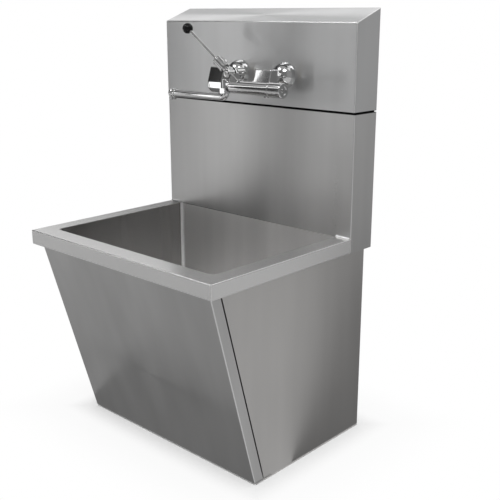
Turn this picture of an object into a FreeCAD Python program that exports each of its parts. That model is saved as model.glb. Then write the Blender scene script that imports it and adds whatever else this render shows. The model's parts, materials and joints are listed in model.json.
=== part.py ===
"""Stainless steel hand wash sink: cabinet, deep bowl, tall splash and a lever-operated wall faucet.

X is to the right, Y towards the wall, Z up. The origin is on the floor, under the middle of the sink.
Distances named OUT are measured from the hood's front face towards the user.
"""
import FreeCAD, Part
import math
import os
from FreeCAD import Vector

# ---------------------------------------------------------------- sheet metal sizes (mm)
WIDTH = 762.0
DEPTH = 660.4
HEIGHT = 1270.0
RIM_HEIGHT = 635.0
SHEET = 1.6
BEND = 3.0
APRON = 43.0
APRON_RETURN = 15.0
FRONT_DECK = 57.2
SIDE_DECK = 50.8
COVE = 8.0

BOWL_DEPTH = 305.0
BOWL_CORNER = 16.0
BOWL_FALL = 12.0
FALL_MARGIN = 30.0
LANDING = 140.0

SPLASH_DEPTH = 101.9
HOOD_DEPTH = 103.9
HOOD_HEIGHT = 278.0
SEAM_GAP = 4.0
HOOD_DROP = 38.0
HOOD_EDGE = 5.0
BACK_FLANGE = 20.0
HOOD_LIP = 6.0
TONGUE_SETBACK = 6.0
TONGUE_RISE = 16.0

SKIRT_TUCK = 28.0
SKIRT_SIDE_INSET = 23.8
SKIRT_TOP_INSET = 20.0
SKIRT_FLOOR_INSET = 184.0
PANEL_FLANGE = 32.0
PANEL_GAP = 4.5
SIDE_RETURN = 12.0
POST_SETBACK = 8.0
POST_THICKNESS = 3.0
POST_LAP = 8.0

RAIL_HEIGHT = 40.0
RAIL_THICKNESS = 3.0
RAIL_FLANGE = 25.0
HANGER_UPPER_DROP = 130.0
HANGER_LOWER_DROP = 95.0
HANGER_SLOT_SPACING = 406.4
HANGER_SLOT_RADIUS = 4.5
HANGER_SLOT_LENGTH = 21.0
SUPPORT_WIDTH = 40.0
SUPPORT_HEIGHT = 25.0
SUPPORT_SPREAD = 130.0
PAD_LENGTH = 60.0
PAD_THICKNESS = 3.0
SCREW_RADIUS = 2.5
SCREW_HEAD_RADIUS = 4.6
SCREW_HEAD = 2.6
CLIP_WIDTH = 30.0
CLIP_WALL = 2.0
CLIP_SPREAD = 270.0
HOOK_WIDTH = 40.0
HOOK_SPACING = 420.0
HOOK_REACH = 30.0
HOOK_DROP = 34.0
HOOK_THICKNESS = 2.0

# ---------------------------------------------------------------- waste sizes (mm)
DRAIN_HOLE = 44.5
STRAINER_FLANGE = 57.0
STRAINER_FLANGE_THICKNESS = 2.0
STRAINER_CUP = 43.8
STRAINER_WALL = 1.5
STRAINER_DEPTH = 48.0
SPIGOT_RADIUS = 21.6
SPIGOT_LENGTH = 22.0
LEDGE_DROP = 6.0
BASKET_RADIUS = 39.0
BASKET_WALL = 1.2
BASKET_DEPTH = 30.0
BASKET_FLANGE = 2.0
BASKET_HOLE = 2.6
BASKET_INNER_RING = 17.5
BASKET_INNER_HOLES = 8
BASKET_OUTER_RING = 29.2
BASKET_OUTER_HOLES = 14
BASKET_KNOB = 7.0
GASKET = 3.0
FRICTION_WASHER = 1.0
LOCKNUT_RADIUS = 52.0
LOCKNUT_HEIGHT = 10.0
LOCKNUT_LUGS = 6
LOCKNUT_LUG = 5.0
WASTE_RADIUS = 19.05
WASTE_WALL = 1.3
TAIL_FLANGE = 2.0
TAIL_LAP = 22.0
SLIP_NUT_RADIUS = 27.0
SLIP_NUT_HEIGHT = 16.0
SLIP_NUT_RIBS = 12
SLIP_NUT_RIB = 2.0
SLIP_LIP = 3.0
SLIP_WASHER = 3.0
TRAP_DROP = 40.0
SOCKET_DEPTH = 25.0
SOCKET_SHOULDER = 3.0
TRAP_STRAIGHT = 30.0
TRAP_STEP = 20.0
TRAP_REACH = 80.0
ARM_RISE = 65.0
ARM_BEND = 38.0

# ---------------------------------------------------------------- faucet sizes (mm)
# RISE and DROP are heights above and below the inlets.
INLET_CENTRE = 39.0
INLET_SPACING = 182.0
INLET_RISE = 90.0
NIPPLE_RADIUS = 10.65
NIPPLE_WALL = 2.8
NIPPLE_COLLAR = 3.0
NIPPLE_END_RADIUS = 10.4
NIPPLE_END_LENGTH = 40.0
DOME_RADIUS = 38.0
DOME_DEPTH = 36.0
DOME_WALL = 1.2
LOCKNUT_FLATS = 34.0
LOCKNUT_THICKNESS = 7.0
UNION_START = 46.0
UNION_FLATS = 40.0
UNION_LENGTH = 17.0
UNION_LIP = 4.0
UNION_WASHER = 2.0

CASTING_WIDTH = 60.0
CASTING_BACK = 65.0
CASTING_TOP_RISE = 21.0
CASTING_TOP_OUT = 95.0
CASTING_NOSE_OUT = 109.0
CASTING_NOSE_TOP_DROP = 23.0
CASTING_NOSE_LOW_DROP = 41.0
CASTING_BOTTOM_DROP = 54.0
CASTING_BOTTOM_OUT = 94.0
CASTING_ROUND = 4.0
CASTING_SPIGOT = 12.5
CASTING_BORE = 8.0
CASTING_BORE_END = 83.0
SIDE_SPIGOT = 11.0
SIDE_SPIGOT_LENGTH = 5.0
SIDE_THREAD = 10.0
STOP_OUT = 81.0
STOP_OFFSET = 9.0
STOP_RADIUS = 6.0
STOP_PORT = 3.6
STOP_TOP_DROP = 17.0
STOP_HEAD = 8.5
STOP_HEAD_HEIGHT = 4.0
STOP_SLOT = 1.8

BRIDGE_OUT = 91.0
BRIDGE_DROP = 32.0
BRIDGE_RADIUS = 13.0
BRIDGE_BORE = 7.0
BRIDGE_WALL = 6.0
SIDE_UNION_FLATS = 31.0
SIDE_UNION_LENGTH = 15.0
BARREL_OUT = 129.0
BARREL_DROP = 30.0
BARREL_RADIUS = 18.5
BARREL_BORE = 14.0
BARREL_START = 43.0
BARREL_END = 180.5
NECK_X = 66.0
NECK_WIDTH = 34.0
NECK_HEIGHT = 24.0
WEB_WIDTH = 18.0
PORT_RADIUS = 4.5
PORT_SPREAD = 10.0
OUTLET_X = 15.4
OUTLET_RADIUS = 13.6
OUTLET_TOP_DROP = 9.0
OUTLET_BOTTOM_DROP = 45.0
OUTLET_ROUND = 3.0
OUTLET_BORE = 11.0
SOCKET_TOP_DROP = 16.0
OUTLET_ARM = 10.4
OUTLET_ARM_DROP = 23.4
OUTLET_ARM_BORE = 6.5

SPOUT_DROP = 62.0
SPOUT_RADIUS = 9.8
SPOUT_TIP_RADIUS = 12.0
SPOUT_BORE = 8.2
SPOUT_BEND = 13.0
SPOUT_REACH = 228.8
SPOUT_BALL = 14.4
SPOUT_COLLAR = 4.0
SPOUT_STEP = 1.4
SPOUT_SPIGOT = 10.95
SPOUT_SPIGOT_DROP = 24.0
SPOUT_LIP = 2.0
SPOUT_NUT_FLATS = 31.0
SPOUT_NUT_DROP = 35.0
SPOUT_NUT_THREAD = 12.9
SEAL_SECTION = 2.2
SEAL_GROOVE = 1.2
SEAL_PLAY = 0.02
AERATOR_RADIUS = 9.0
AERATOR_SEAT = 6.0
AERATOR_PROUD = 2.0
AERATOR_PITCH = 2.6
AERATOR_SLOTS = 5
MOUTH_DROP = 18.0

CARTRIDGE_START = 52.0
SPINDLE_RADIUS = 4.0
SHUTTLE_RADIUS = 8.0
SHUTTLE_LENGTH = 18.0
SHUTTLE_TRAVEL = 3.0
SHUTTLE_CENTRE = 108.5
SHUTTLE_CHAMBER = 34.0
SHUTTLE_WAIST = 2.0
RING_LENGTH = 10.0
RING_RADIUS = 20.0
RING_BEAD = 2.0
KNOB_RADIUS = 21.0
KNOB_LENGTH = 44.0
KNOB_WALL = 8.0
KNOB_HOLLOW = 26.0
KNOB_RECESS = 3.0
KNOB_FACE = 4.0
KNOB_ROUND = 2.5
KNOB_GAP = 1.0
KNOB_SCREW = 2.5
KNOB_SCREW_HEAD = 5.0
KNOB_SCREW_DEPTH = 12.0
EDGE_ROUND = 1.5
LIMIT_SCREW_X = 173.5
LIMIT_SCREW_RADIUS = 2.4
LIMIT_SCREW_PROUD = 3.0

PIVOT_X = 30.6
PIVOT_RISE = 8.0
CHAMBER_RADIUS = 14.5
CHAMBER_BORE = 10.7
CHAMBER_START = 77.0
CHAMBER_END = 107.0
CHAMBER_FLOOR = 5.0
CHAMBER_PORT = 3.5
BONNET_FLATS = 24.0
BONNET_LENGTH = 6.0
HUB_RADIUS = 11.8
HUB_LENGTH = 26.0
HUB_SCREW = 2.0
HUB_SCREW_DEPTH = 10.0
HUB_SCREW_HEAD = 6.0
HUB_SCREW_HEIGHT = 3.0
VALVE_START = 15.0
VALVE_END = 46.0
VALVE_HALF = 12.0
VALVE_ROUND = 2.0
LEVER_ANGLE = 144.5
LEVER_NECK_RADIUS = 9.0
SLEEVE_START = 22.0
SLEEVE_END = 54.0
SLEEVE_RADIUS = 14.4
SLEEVE_FLUTE = 2.2
SLEEVE_FLUTES = 10
COLLAR_RADIUS = 15.4
COLLAR_END = 62.0
COLLAR_ROUND = 2.5
LEVER_NUT_FLATS = 13.0
LEVER_NUT_LENGTH = 5.0
LEVER_ROD_RADIUS = 4.4
LEVER_ROD_START = 24.0
LEVER_REACH = 210.5
BALL_RADIUS = 15.6
BALL_FLAT = 14.0
SET_SCREW_PLACE = 32.0
SET_SCREW_RADIUS = 3.4
SET_SCREW_PROUD = 6.5

# ---------------------------------------------------------------- clearances (mm)
FIT = 0.05
SLIP = 0.1
SEAT = 0.3
CUT = 1.0

# ---------------------------------------------------------------- places that follow from the sizes
HALF = WIDTH / 2
FRONT = -DEPTH / 2
WALL = DEPTH / 2
SPLASH_FACE = WALL - SPLASH_DEPTH
HOOD_FACE = WALL - HOOD_DEPTH
BOWL_HALF = HALF - SIDE_DECK
BOWL_FRONT = FRONT + FRONT_DECK
BOWL_TOP = RIM_HEIGHT - SHEET
BOWL_FLOOR = RIM_HEIGHT - BOWL_DEPTH
LANDING_TOP = BOWL_FLOOR - BOWL_FALL
LANDING_UNDER = LANDING_TOP - SHEET
APRON_BOTTOM = RIM_HEIGHT - APRON
HOOD_BOTTOM = HEIGHT - HOOD_HEIGHT
HOOD_FRONT_TOP = HEIGHT - HOOD_DROP
SEAM_HEIGHT = HOOD_BOTTOM - SEAM_GAP
HANGER_UPPER_HEIGHT = HEIGHT - HANGER_UPPER_DROP
HANGER_LOWER_HEIGHT = RIM_HEIGHT - HANGER_LOWER_DROP
SKIRT_HALF = HALF - SKIRT_SIDE_INSET
SKIRT_TOP = APRON_BOTTOM + SKIRT_TUCK
SKIRT_LEAN = math.atan2(SKIRT_FLOOR_INSET - SKIRT_TOP_INSET, APRON_BOTTOM)
FLOOR_FRONT = BOWL_FRONT + (BOWL_TOP - BOWL_FLOOR) * math.tan(SKIRT_LEAN)
DRAIN_Y = (FLOOR_FRONT + SPLASH_FACE) / 2
SUPPORT_LINES = (DRAIN_Y - SUPPORT_SPREAD, DRAIN_Y + SUPPORT_SPREAD)
SUPPORT_TOP = LANDING_UNDER - PAD_THICKNESS
RAIL_FACE = WALL - SHEET
INLETS = (INLET_CENTRE - INLET_SPACING / 2, INLET_CENTRE + INLET_SPACING / 2)
INLET_HEIGHT = HOOD_BOTTOM + INLET_RISE
CASTING_TOP = INLET_HEIGHT + CASTING_TOP_RISE
CASTING_NOSE_TOP = INLET_HEIGHT - CASTING_NOSE_TOP_DROP
CASTING_NOSE_LOW = INLET_HEIGHT - CASTING_NOSE_LOW_DROP
CASTING_BOTTOM = INLET_HEIGHT - CASTING_BOTTOM_DROP
STOP_TOP = INLET_HEIGHT - STOP_TOP_DROP
BRIDGE_HEIGHT = INLET_HEIGHT - BRIDGE_DROP
BARREL_HEIGHT = INLET_HEIGHT - BARREL_DROP
OUTLET_TOP = INLET_HEIGHT - OUTLET_TOP_DROP
OUTLET_BOTTOM = INLET_HEIGHT - OUTLET_BOTTOM_DROP
SOCKET_TOP = INLET_HEIGHT - SOCKET_TOP_DROP
OUTLET_ARM_HEIGHT = INLET_HEIGHT - OUTLET_ARM_DROP
SPOUT_HEIGHT = INLET_HEIGHT - SPOUT_DROP
SPOUT_SPIGOT_TOP = INLET_HEIGHT - SPOUT_SPIGOT_DROP
SPOUT_NUT_TOP = INLET_HEIGHT - SPOUT_NUT_DROP
PIVOT_HEIGHT = INLET_HEIGHT + PIVOT_RISE
UP = Vector(0, 0, 1)


# ---------------------------------------------------------------- shape helpers
def block(x0, x1, y0, y1, z0, z1):
    return Part.makeBox(x1 - x0, y1 - y0, z1 - z0, Vector(x0, y0, z0))


def bar(start, end, radius):
    """Round bar between two points."""
    axis = end - start
    return Part.makeCylinder(radius, axis.Length, start, axis)


def tube(start, end, outer, inner):
    return bar(start, end, outer).cut(bar(start, end, inner))


def cone(start, end, first, last):
    axis = end - start
    return Part.makeCone(first, last, axis.Length, start, axis)


def hexagon(start, end, flats):
    """Hexagonal bar between two points, measured across its flats."""
    axis = end - start
    corner = flats / math.sqrt(3)
    turns = [math.radians(60 * step) for step in range(7)]
    outline = [Vector(corner * math.cos(turn), corner * math.sin(turn), 0) for turn in turns]
    solid = Part.Face(Part.makePolygon(outline)).extrude(Vector(0, 0, axis.Length))
    solid.Placement = FreeCAD.Placement(start, FreeCAD.Rotation(UP, axis))
    return solid


def across(outline, x0, x1):
    """Prism of a (y, z) outline, running from x0 to x1."""
    points = [Vector(x0, y, z) for y, z in outline]
    return Part.Face(Part.makePolygon(points + points[:1])).extrude(Vector(x1 - x0, 0, 0))


def join(first, *others):
    return first.fuse(list(others)).removeSplitter()


def fillet(shape, radius, test):
    return shape.makeFillet(radius, [edge for edge in shape.Edges if test(edge.BoundBox)])


def upright(box):
    return box.XLength < 1e-6 and box.YLength < 1e-6


def mirrored(shape):
    return shape.mirror(Vector(0, 0, 0), Vector(1, 0, 0))


def out(x, distance, z):
    """Point at a distance in front of the hood's face."""
    return Vector(x, HOOD_FACE - distance, z)


def save(name, *solids):
    shape = solids[0] if len(solids) == 1 else Part.makeCompound(list(solids))
    whole = shape.isValid() and len(shape.Solids) == len(solids)
    shape.exportStep("parts/" + name + ".step")
    print(f"{name}: {len(shape.Solids)} solid(s), {shape.Volume / 1000:.1f} cm3, ok {whole}")


# ---------------------------------------------------------------- deck, bowl and splash
def rounded_column(half, y0, y1, z0, z1, radius):
    return fillet(block(-half, half, y0, y1, z0, z1), radius, upright)


def rim_deck():
    """Deck plate with its apron folded down on three sides and turned in at the bottom."""
    behind = SPLASH_FACE - 1e-3
    outer = block(-HALF, HALF, FRONT, SPLASH_FACE + BEND, APRON_BOTTOM, RIM_HEIGHT)
    outer = fillet(outer, BEND, lambda box: box.YMin < behind)
    inner = block(-HALF + SHEET, HALF - SHEET, FRONT + SHEET, WALL, APRON_BOTTOM + SHEET, BOWL_TOP)
    inner = fillet(inner, BEND - SHEET, lambda box: box.YMin < behind)
    mouth = block(-HALF + APRON_RETURN, HALF - APRON_RETURN, FRONT + APRON_RETURN, WALL,
                  APRON_BOTTOM - CUT, APRON_BOTTOM + SHEET + CUT)
    shelf = block(-HALF + SHEET, HALF - SHEET, SPLASH_FACE, WALL - SHEET, BOWL_TOP, RIM_HEIGHT)
    opening = rounded_column(BOWL_HALF, BOWL_FRONT, SPLASH_FACE, BOWL_TOP - CUT, RIM_HEIGHT + CUT,
                             BOWL_CORNER)
    return join(outer.cut(inner).cut(mouth), shelf).cut(opening)


def bowl_front_y(z):
    return BOWL_FRONT + (BOWL_TOP - z) * math.tan(SKIRT_LEAN)


def bowl_form(offset):
    """Solid form of the bowl, grown by an offset: its front leans back like the skirt, and its
    floor falls to a flat landing at the drain."""
    half = BOWL_HALF + offset
    floor = BOWL_FLOOR - offset
    step = offset / math.cos(SKIRT_LEAN)
    side_view = [(BOWL_FRONT - step, BOWL_TOP), (bowl_front_y(floor) - step, floor),
                 (SPLASH_FACE + offset, floor), (SPLASH_FACE + offset, BOWL_TOP)]
    body = across(side_view, -half, half)
    body = fillet(body, BOWL_CORNER + offset, lambda box: box.ZMin < BOWL_TOP - 1e-3)
    upper = rectangle(BOWL_HALF - FALL_MARGIN, (SPLASH_FACE - FLOOR_FRONT) / 2 - FALL_MARGIN, floor)
    lower = rectangle(LANDING / 2, LANDING / 2, floor - BOWL_FALL)
    return join(body, Part.makeLoft([upper, lower], True, True))


def rectangle(half_x, half_y, z):
    corners = [(-half_x, -half_y), (half_x, -half_y), (half_x, half_y), (-half_x, half_y),
               (-half_x, -half_y)]
    return Part.makePolygon([Vector(x, DRAIN_Y + y, z) for x, y in corners])


def basin_bowl():
    hole = bar(Vector(0, DRAIN_Y, LANDING_UNDER - CUT), Vector(0, DRAIN_Y, LANDING_TOP + CUT), DRAIN_HOLE)
    return bowl_form(SHEET).cut(bowl_form(0)).cut(hole)


def backsplash_panel():
    """Lower splash sheet, folded back to the wall at both sides, with coves where it meets the deck
    and a tongue inside the hood along its front and sides."""
    outer = block(-HALF, HALF, SPLASH_FACE, WALL, APRON_BOTTOM, SEAM_HEIGHT)
    outer = fillet(outer, BEND, lambda box: upright(box) and box.YMin < WALL - 1e-3)
    inner = block(-HALF + SHEET, HALF - SHEET, SPLASH_FACE + SHEET, WALL - SHEET,
                  APRON_BOTTOM - CUT, SEAM_HEIGHT - SHEET)
    inner = fillet(inner, BEND - SHEET, lambda box: upright(box) and box.YMin < WALL - SHEET - 1e-3)
    back = block(-HALF + BACK_FLANGE, HALF - BACK_FLANGE, SPLASH_FACE + BACK_FLANGE, WALL + CUT,
                 APRON_BOTTOM - CUT, SEAM_HEIGHT + CUT)
    under = block(-HALF - CUT, HALF + CUT, SPLASH_FACE - CUT, SPLASH_FACE + BEND,
                  APRON_BOTTOM - CUT, RIM_HEIGHT)
    tongue_y = SPLASH_FACE + TONGUE_SETBACK
    tongue = block(-HALF + BEND, HALF - BEND, tongue_y, tongue_y + SHEET,
                   SEAM_HEIGHT - SHEET, SEAM_HEIGHT + TONGUE_RISE)
    ear = block(HALF - TONGUE_SETBACK - SHEET, HALF - TONGUE_SETBACK, tongue_y, WALL - SHEET - SLIP,
                SEAM_HEIGHT - SHEET, SEAM_HEIGHT + TONGUE_RISE)
    sheet = join(outer.cut(inner).cut(back).cut(under), tongue, ear, mirrored(ear))
    return join(sheet, cove(BOWL_HALF, HALF - BEND), mirrored(cove(BOWL_HALF, HALF - BEND)))


def cove(x0, x1):
    """Concave fillet strip where the splash meets the side deck."""
    strip = block(x0, x1, SPLASH_FACE - COVE, SPLASH_FACE, RIM_HEIGHT, RIM_HEIGHT + COVE)
    centre = Vector(x0 - CUT, SPLASH_FACE - COVE, RIM_HEIGHT + COVE)
    return strip.cut(bar(centre, centre + Vector(x1 - x0 + 2 * CUT, 0, 0), COVE))


def hood_outline(inset):
    """Side view of the hood, moved in by a sheet thickness."""
    slope = math.atan2(HEIGHT - HOOD_FRONT_TOP, HOOD_DEPTH)
    drop = inset / math.cos(slope)
    rise = math.tan(slope)
    return [(HOOD_FACE + inset, HOOD_BOTTOM + inset),
            (HOOD_FACE + inset, HOOD_FRONT_TOP - drop + inset * rise),
            (WALL - inset, HEIGHT - drop - inset * rise), (WALL - inset, HOOD_BOTTOM + inset)]


def splash_hood():
    """Upper splash: front, sloping top and two sides in one fold, open to the wall."""
    front_top = HOOD_FRONT_TOP
    outer = across(hood_outline(0), -HALF, HALF)
    outer = fillet(outer, HOOD_EDGE, lambda box: box.ZMin > front_top - CUT
                   and box.ZMax < front_top + CUT)
    outer = fillet(outer, BEND, lambda box: box.XLength < 1e-3 and box.YMin < HOOD_FACE + HOOD_DEPTH / 2
                   and box.ZLength > HOOD_EDGE / 4)
    inner = across(hood_outline(SHEET), -HALF + SHEET, HALF - SHEET)
    back = block(-HALF + BACK_FLANGE, HALF - BACK_FLANGE, WALL - SHEET, WALL + CUT,
                 HOOD_BOTTOM - CUT, HEIGHT - BACK_FLANGE)
    base = block(-HALF + SHEET, HALF - SHEET, HOOD_FACE + HOOD_LIP, WALL - SHEET,
                 HOOD_BOTTOM - CUT, HOOD_BOTTOM + SHEET + CUT)
    hood = outer.cut(inner).cut(back).cut(base)
    for x in INLETS:
        hood = hood.cut(bar(out(x, CUT, INLET_HEIGHT), out(x, -SHEET - CUT, INLET_HEIGHT),
                            NIPPLE_RADIUS + CUT))
    return hood


# ---------------------------------------------------------------- skirt under the apron
def skirt_y(depth, z):
    """Y of the leaning front line at height z, at a depth measured square to it."""
    foot = FRONT + SKIRT_FLOOR_INSET
    return foot - z * math.tan(SKIRT_LEAN) + depth / math.cos(SKIRT_LEAN)


def leaning(depth0, depth1, z0, z1, x0, x1):
    """Prism between two lines parallel to the leaning front."""
    outline = [(skirt_y(depth0, z0), z0), (skirt_y(depth1, z0), z0), (skirt_y(depth1, z1), z1),
               (skirt_y(depth0, z1), z1)]
    return across(outline, x0, x1)


def front_access_panel():
    """Leaning front sheet with side flanges and a turned-in foot."""
    outer = leaning(0, PANEL_FLANGE, 0, SKIRT_TOP, -SKIRT_HALF, SKIRT_HALF)
    outer = fillet(outer, BEND, lambda box: box.XLength < 1e-6 and box.ZLength > APRON_BOTTOM
                   and box.YMin < skirt_y(PANEL_FLANGE / 2, SKIRT_TOP))
    inner = leaning(SHEET, PANEL_FLANGE * 2, SHEET, SKIRT_TOP + CUT, -SKIRT_HALF + SHEET, SKIRT_HALF - SHEET)
    return outer.cut(inner)


def side_panel_right():
    """Side skin with its edges turned in; the front edge follows the lean of the front panel."""
    edge = PANEL_FLANGE + PANEL_GAP
    outline = [(skirt_y(edge, 0), 0), (WALL, 0), (WALL, SKIRT_TOP), (skirt_y(edge, SKIRT_TOP), SKIRT_TOP)]
    hollow = [(skirt_y(edge + SHEET, SHEET), SHEET), (WALL - SHEET, SHEET), (WALL - SHEET, SKIRT_TOP + CUT),
              (skirt_y(edge + SHEET, SKIRT_TOP + CUT), SKIRT_TOP + CUT)]
    pan = across(outline, SKIRT_HALF - SIDE_RETURN, SKIRT_HALF)
    return pan.cut(across(hollow, SKIRT_HALF - SIDE_RETURN - CUT, SKIRT_HALF - SHEET))


def front_post_right():
    """Flat bar behind the gap beside the front panel, seated on the side panel's turned-in edge."""
    face = SKIRT_HALF - SIDE_RETURN
    end = PANEL_FLANGE + PANEL_GAP + POST_LAP
    return leaning(POST_SETBACK, end, SHEET, SKIRT_TOP, face - POST_THICKNESS, face)


def base_rear_rail():
    """Floor tie between the side panels, at the wall."""
    half = SKIRT_HALF - SHEET
    outer = block(-half, half, RAIL_FACE - RAIL_FLANGE, RAIL_FACE, SHEET, RAIL_HEIGHT)
    return outer.cut(block(-half - CUT, half + CUT, RAIL_FACE - RAIL_FLANGE - CUT,
                           RAIL_FACE - RAIL_THICKNESS, SHEET + RAIL_THICKNESS, RAIL_HEIGHT + CUT))


def wall_hanger(half, height):
    """Channel bolted to the wall through two slots and screwed to the folded sides."""
    low = height - RAIL_HEIGHT / 2
    high = height + RAIL_HEIGHT / 2
    body = block(-half, half, RAIL_FACE - RAIL_FLANGE, RAIL_FACE, low, high)
    hollow = block(-half + RAIL_THICKNESS, half - RAIL_THICKNESS, RAIL_FACE - RAIL_FLANGE - CUT,
                   RAIL_FACE - RAIL_THICKNESS, low - CUT, high + CUT)
    rail = body.cut(hollow)
    for side in (-1, 1):
        rail = rail.cut(slot(side * HANGER_SLOT_SPACING / 2, height))
    for head, direction in screw_places(half, height):
        rail = rail.cut(bar(head, head + direction * (RAIL_THICKNESS + CUT), SCREW_RADIUS + SLIP))
    return rail


def screw_places(half, height):
    """Where the screws of one hanger sit, on the inside of its folded ends."""
    y = RAIL_FACE - (RAIL_FLANGE + RAIL_THICKNESS) / 2
    places = []
    for side in (-1, 1):
        for lift in (-1, 1):
            head = Vector(side * (half - RAIL_THICKNESS), y, height + lift * RAIL_HEIGHT / 4)
            places.append((head, Vector(side, 0, 0)))
    return places


def slot(x, z):
    reach = HANGER_SLOT_LENGTH / 2 - HANGER_SLOT_RADIUS
    y0 = RAIL_FACE - RAIL_THICKNESS - CUT
    y1 = RAIL_FACE + CUT
    ends = [bar(Vector(x + side * reach, y0, z), Vector(x + side * reach, y1, z), HANGER_SLOT_RADIUS)
            for side in (-1, 1)]
    middle = block(x - reach, x + reach, y0, y1, z - HANGER_SLOT_RADIUS, z + HANGER_SLOT_RADIUS)
    return join(middle, *ends)


def bowl_support(y):
    """Inverted channel across the cabinet under the bowl."""
    half = SKIRT_HALF - SHEET
    top = SUPPORT_TOP
    outer = block(-half, half, y - SUPPORT_WIDTH / 2, y + SUPPORT_WIDTH / 2, top - SUPPORT_HEIGHT, top)
    return outer.cut(block(-half - CUT, half + CUT, y - SUPPORT_WIDTH / 2 + RAIL_THICKNESS,
                           y + SUPPORT_WIDTH / 2 - RAIL_THICKNESS, top - SUPPORT_HEIGHT - CUT,
                           top - RAIL_THICKNESS))


def support_pads():
    """Rubber pads between the channels and the bowl, cut to the slope of its floor."""
    bowl = bowl_form(SHEET + SLIP)
    pads = []
    for y in SUPPORT_LINES:
        for x in (-1, 1):
            middle = x * BOWL_HALF / 2
            pad = block(middle - PAD_LENGTH / 2, middle + PAD_LENGTH / 2, y - SUPPORT_WIDTH / 2,
                        y + SUPPORT_WIDTH / 2, SUPPORT_TOP, BOWL_FLOOR)
            pads.append(pad.cut(bowl))
    return pads


# ---------------------------------------------------------------- clips and screws
def hood_clip(x):
    """Clip that rides on the splash's tongue and stands on the hood's bottom lip."""
    tongue_y = SPLASH_FACE + TONGUE_SETBACK
    tongue_top = SEAM_HEIGHT + TONGUE_RISE
    body = block(x - CLIP_WIDTH / 2, x + CLIP_WIDTH / 2, HOOD_FACE + SHEET, tongue_y + SHEET + CLIP_WALL,
                 HOOD_BOTTOM + SHEET, tongue_top + CLIP_WALL)
    return body.cut(block(x - CLIP_WIDTH, x + CLIP_WIDTH, tongue_y - SLIP, tongue_y + SHEET + SLIP,
                          HOOD_BOTTOM, tongue_top + SLIP))


def panel_hook(x):
    """Angle under the deck that keeps the top of the access panel in place."""
    y = skirt_y(SHEET, SKIRT_TOP) + HOOK_THICKNESS
    low = BOWL_TOP - HOOK_DROP
    lean = skirt_y(SHEET, low) - skirt_y(SHEET, SKIRT_TOP) + SEAT
    leg = block(x - HOOK_WIDTH / 2, x + HOOK_WIDTH / 2, y + lean - HOOK_THICKNESS, y + lean, low, BOWL_TOP)
    foot = block(x - HOOK_WIDTH / 2, x + HOOK_WIDTH / 2, y + lean - HOOK_THICKNESS, y + lean + HOOK_REACH,
                 BOWL_TOP - HOOK_THICKNESS, BOWL_TOP)
    return join(leg, foot)


def screw(head, direction, grip):
    """Pan-head screw: its head sits on a point and its shank runs along the direction."""
    shank = bar(head, head + direction * grip, SCREW_RADIUS)
    return join(bar(head - direction * SCREW_HEAD, head, SCREW_HEAD_RADIUS), shank)


def frame_screws():
    places = screw_places(HALF - SHEET, HANGER_UPPER_HEIGHT)
    places += screw_places(SKIRT_HALF - SHEET, HANGER_LOWER_HEIGHT)
    return [screw(head, direction, RAIL_THICKNESS) for head, direction in places]


# ---------------------------------------------------------------- waste under the bowl
def drain_point(z, reach=0.0):
    return Vector(0, DRAIN_Y + reach, z)


def turned(outline):
    """Ring turned about the drain's axis from an (r, z) outline."""
    points = [drain_point(z) + Vector(r, 0, 0) for r, z in outline]
    face = Part.Face(Part.makePolygon(points + points[:1]))
    return face.revolve(drain_point(0), UP, 360)


CUP_BOTTOM = LANDING_TOP - STRAINER_DEPTH
SPIGOT_BOTTOM = CUP_BOTTOM - SPIGOT_LENGTH
LEDGE_TOP = LANDING_TOP - LEDGE_DROP
BASKET_RIM = STRAINER_CUP - STRAINER_WALL - SEAT
WASTE_BORE = WASTE_RADIUS - WASTE_WALL


def strainer_body():
    """Flanged cup that hangs in the drain hole, with a ledge for the basket."""
    return turned([
        (STRAINER_FLANGE, LANDING_TOP), (STRAINER_FLANGE, LANDING_TOP + STRAINER_FLANGE_THICKNESS),
        (STRAINER_CUP - STRAINER_WALL, LANDING_TOP + STRAINER_FLANGE_THICKNESS),
        (STRAINER_CUP - STRAINER_WALL, LEDGE_TOP), (BASKET_RADIUS + CUT, LEDGE_TOP),
        (BASKET_RADIUS + CUT, CUP_BOTTOM + STRAINER_WALL),
        (SPIGOT_RADIUS - STRAINER_WALL, CUP_BOTTOM + STRAINER_WALL),
        (SPIGOT_RADIUS - STRAINER_WALL, SPIGOT_BOTTOM), (SPIGOT_RADIUS, SPIGOT_BOTTOM),
        (SPIGOT_RADIUS, CUP_BOTTOM), (STRAINER_CUP, CUP_BOTTOM), (STRAINER_CUP, LANDING_TOP)])


def strainer_basket():
    """Perforated cup with a finger knob; it lifts out."""
    floor = LEDGE_TOP - BASKET_DEPTH
    cup = turned([
        (BASKET_RIM, LEDGE_TOP), (BASKET_RIM, LEDGE_TOP + BASKET_FLANGE),
        (BASKET_RADIUS - BASKET_WALL, LEDGE_TOP + BASKET_FLANGE),
        (BASKET_RADIUS - BASKET_WALL, floor + BASKET_WALL),
        (0, floor + BASKET_WALL), (0, floor), (BASKET_RADIUS, floor), (BASKET_RADIUS, LEDGE_TOP)])
    post_top = LEDGE_TOP + BASKET_FLANGE
    post = bar(drain_point(floor), drain_point(post_top), BASKET_KNOB / 2)
    knob = bar(drain_point(post_top - BASKET_KNOB / 2), drain_point(post_top + BASKET_KNOB / 2), BASKET_KNOB)
    basket = join(cup, post, knob)
    rings = ((BASKET_INNER_RING, BASKET_INNER_HOLES), (BASKET_OUTER_RING, BASKET_OUTER_HOLES))
    for ring, count in rings:
        for step in range(count):
            turn = 2 * math.pi * step / count
            place = drain_point(floor - CUT) + Vector(ring * math.cos(turn), ring * math.sin(turn), 0)
            basket = basket.cut(bar(place, place + UP * (BASKET_WALL + 2 * CUT), BASKET_HOLE))
    return basket


def drain_ring(top, height, outer, inner):
    return tube(drain_point(top - height), drain_point(top), outer, inner)


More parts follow.
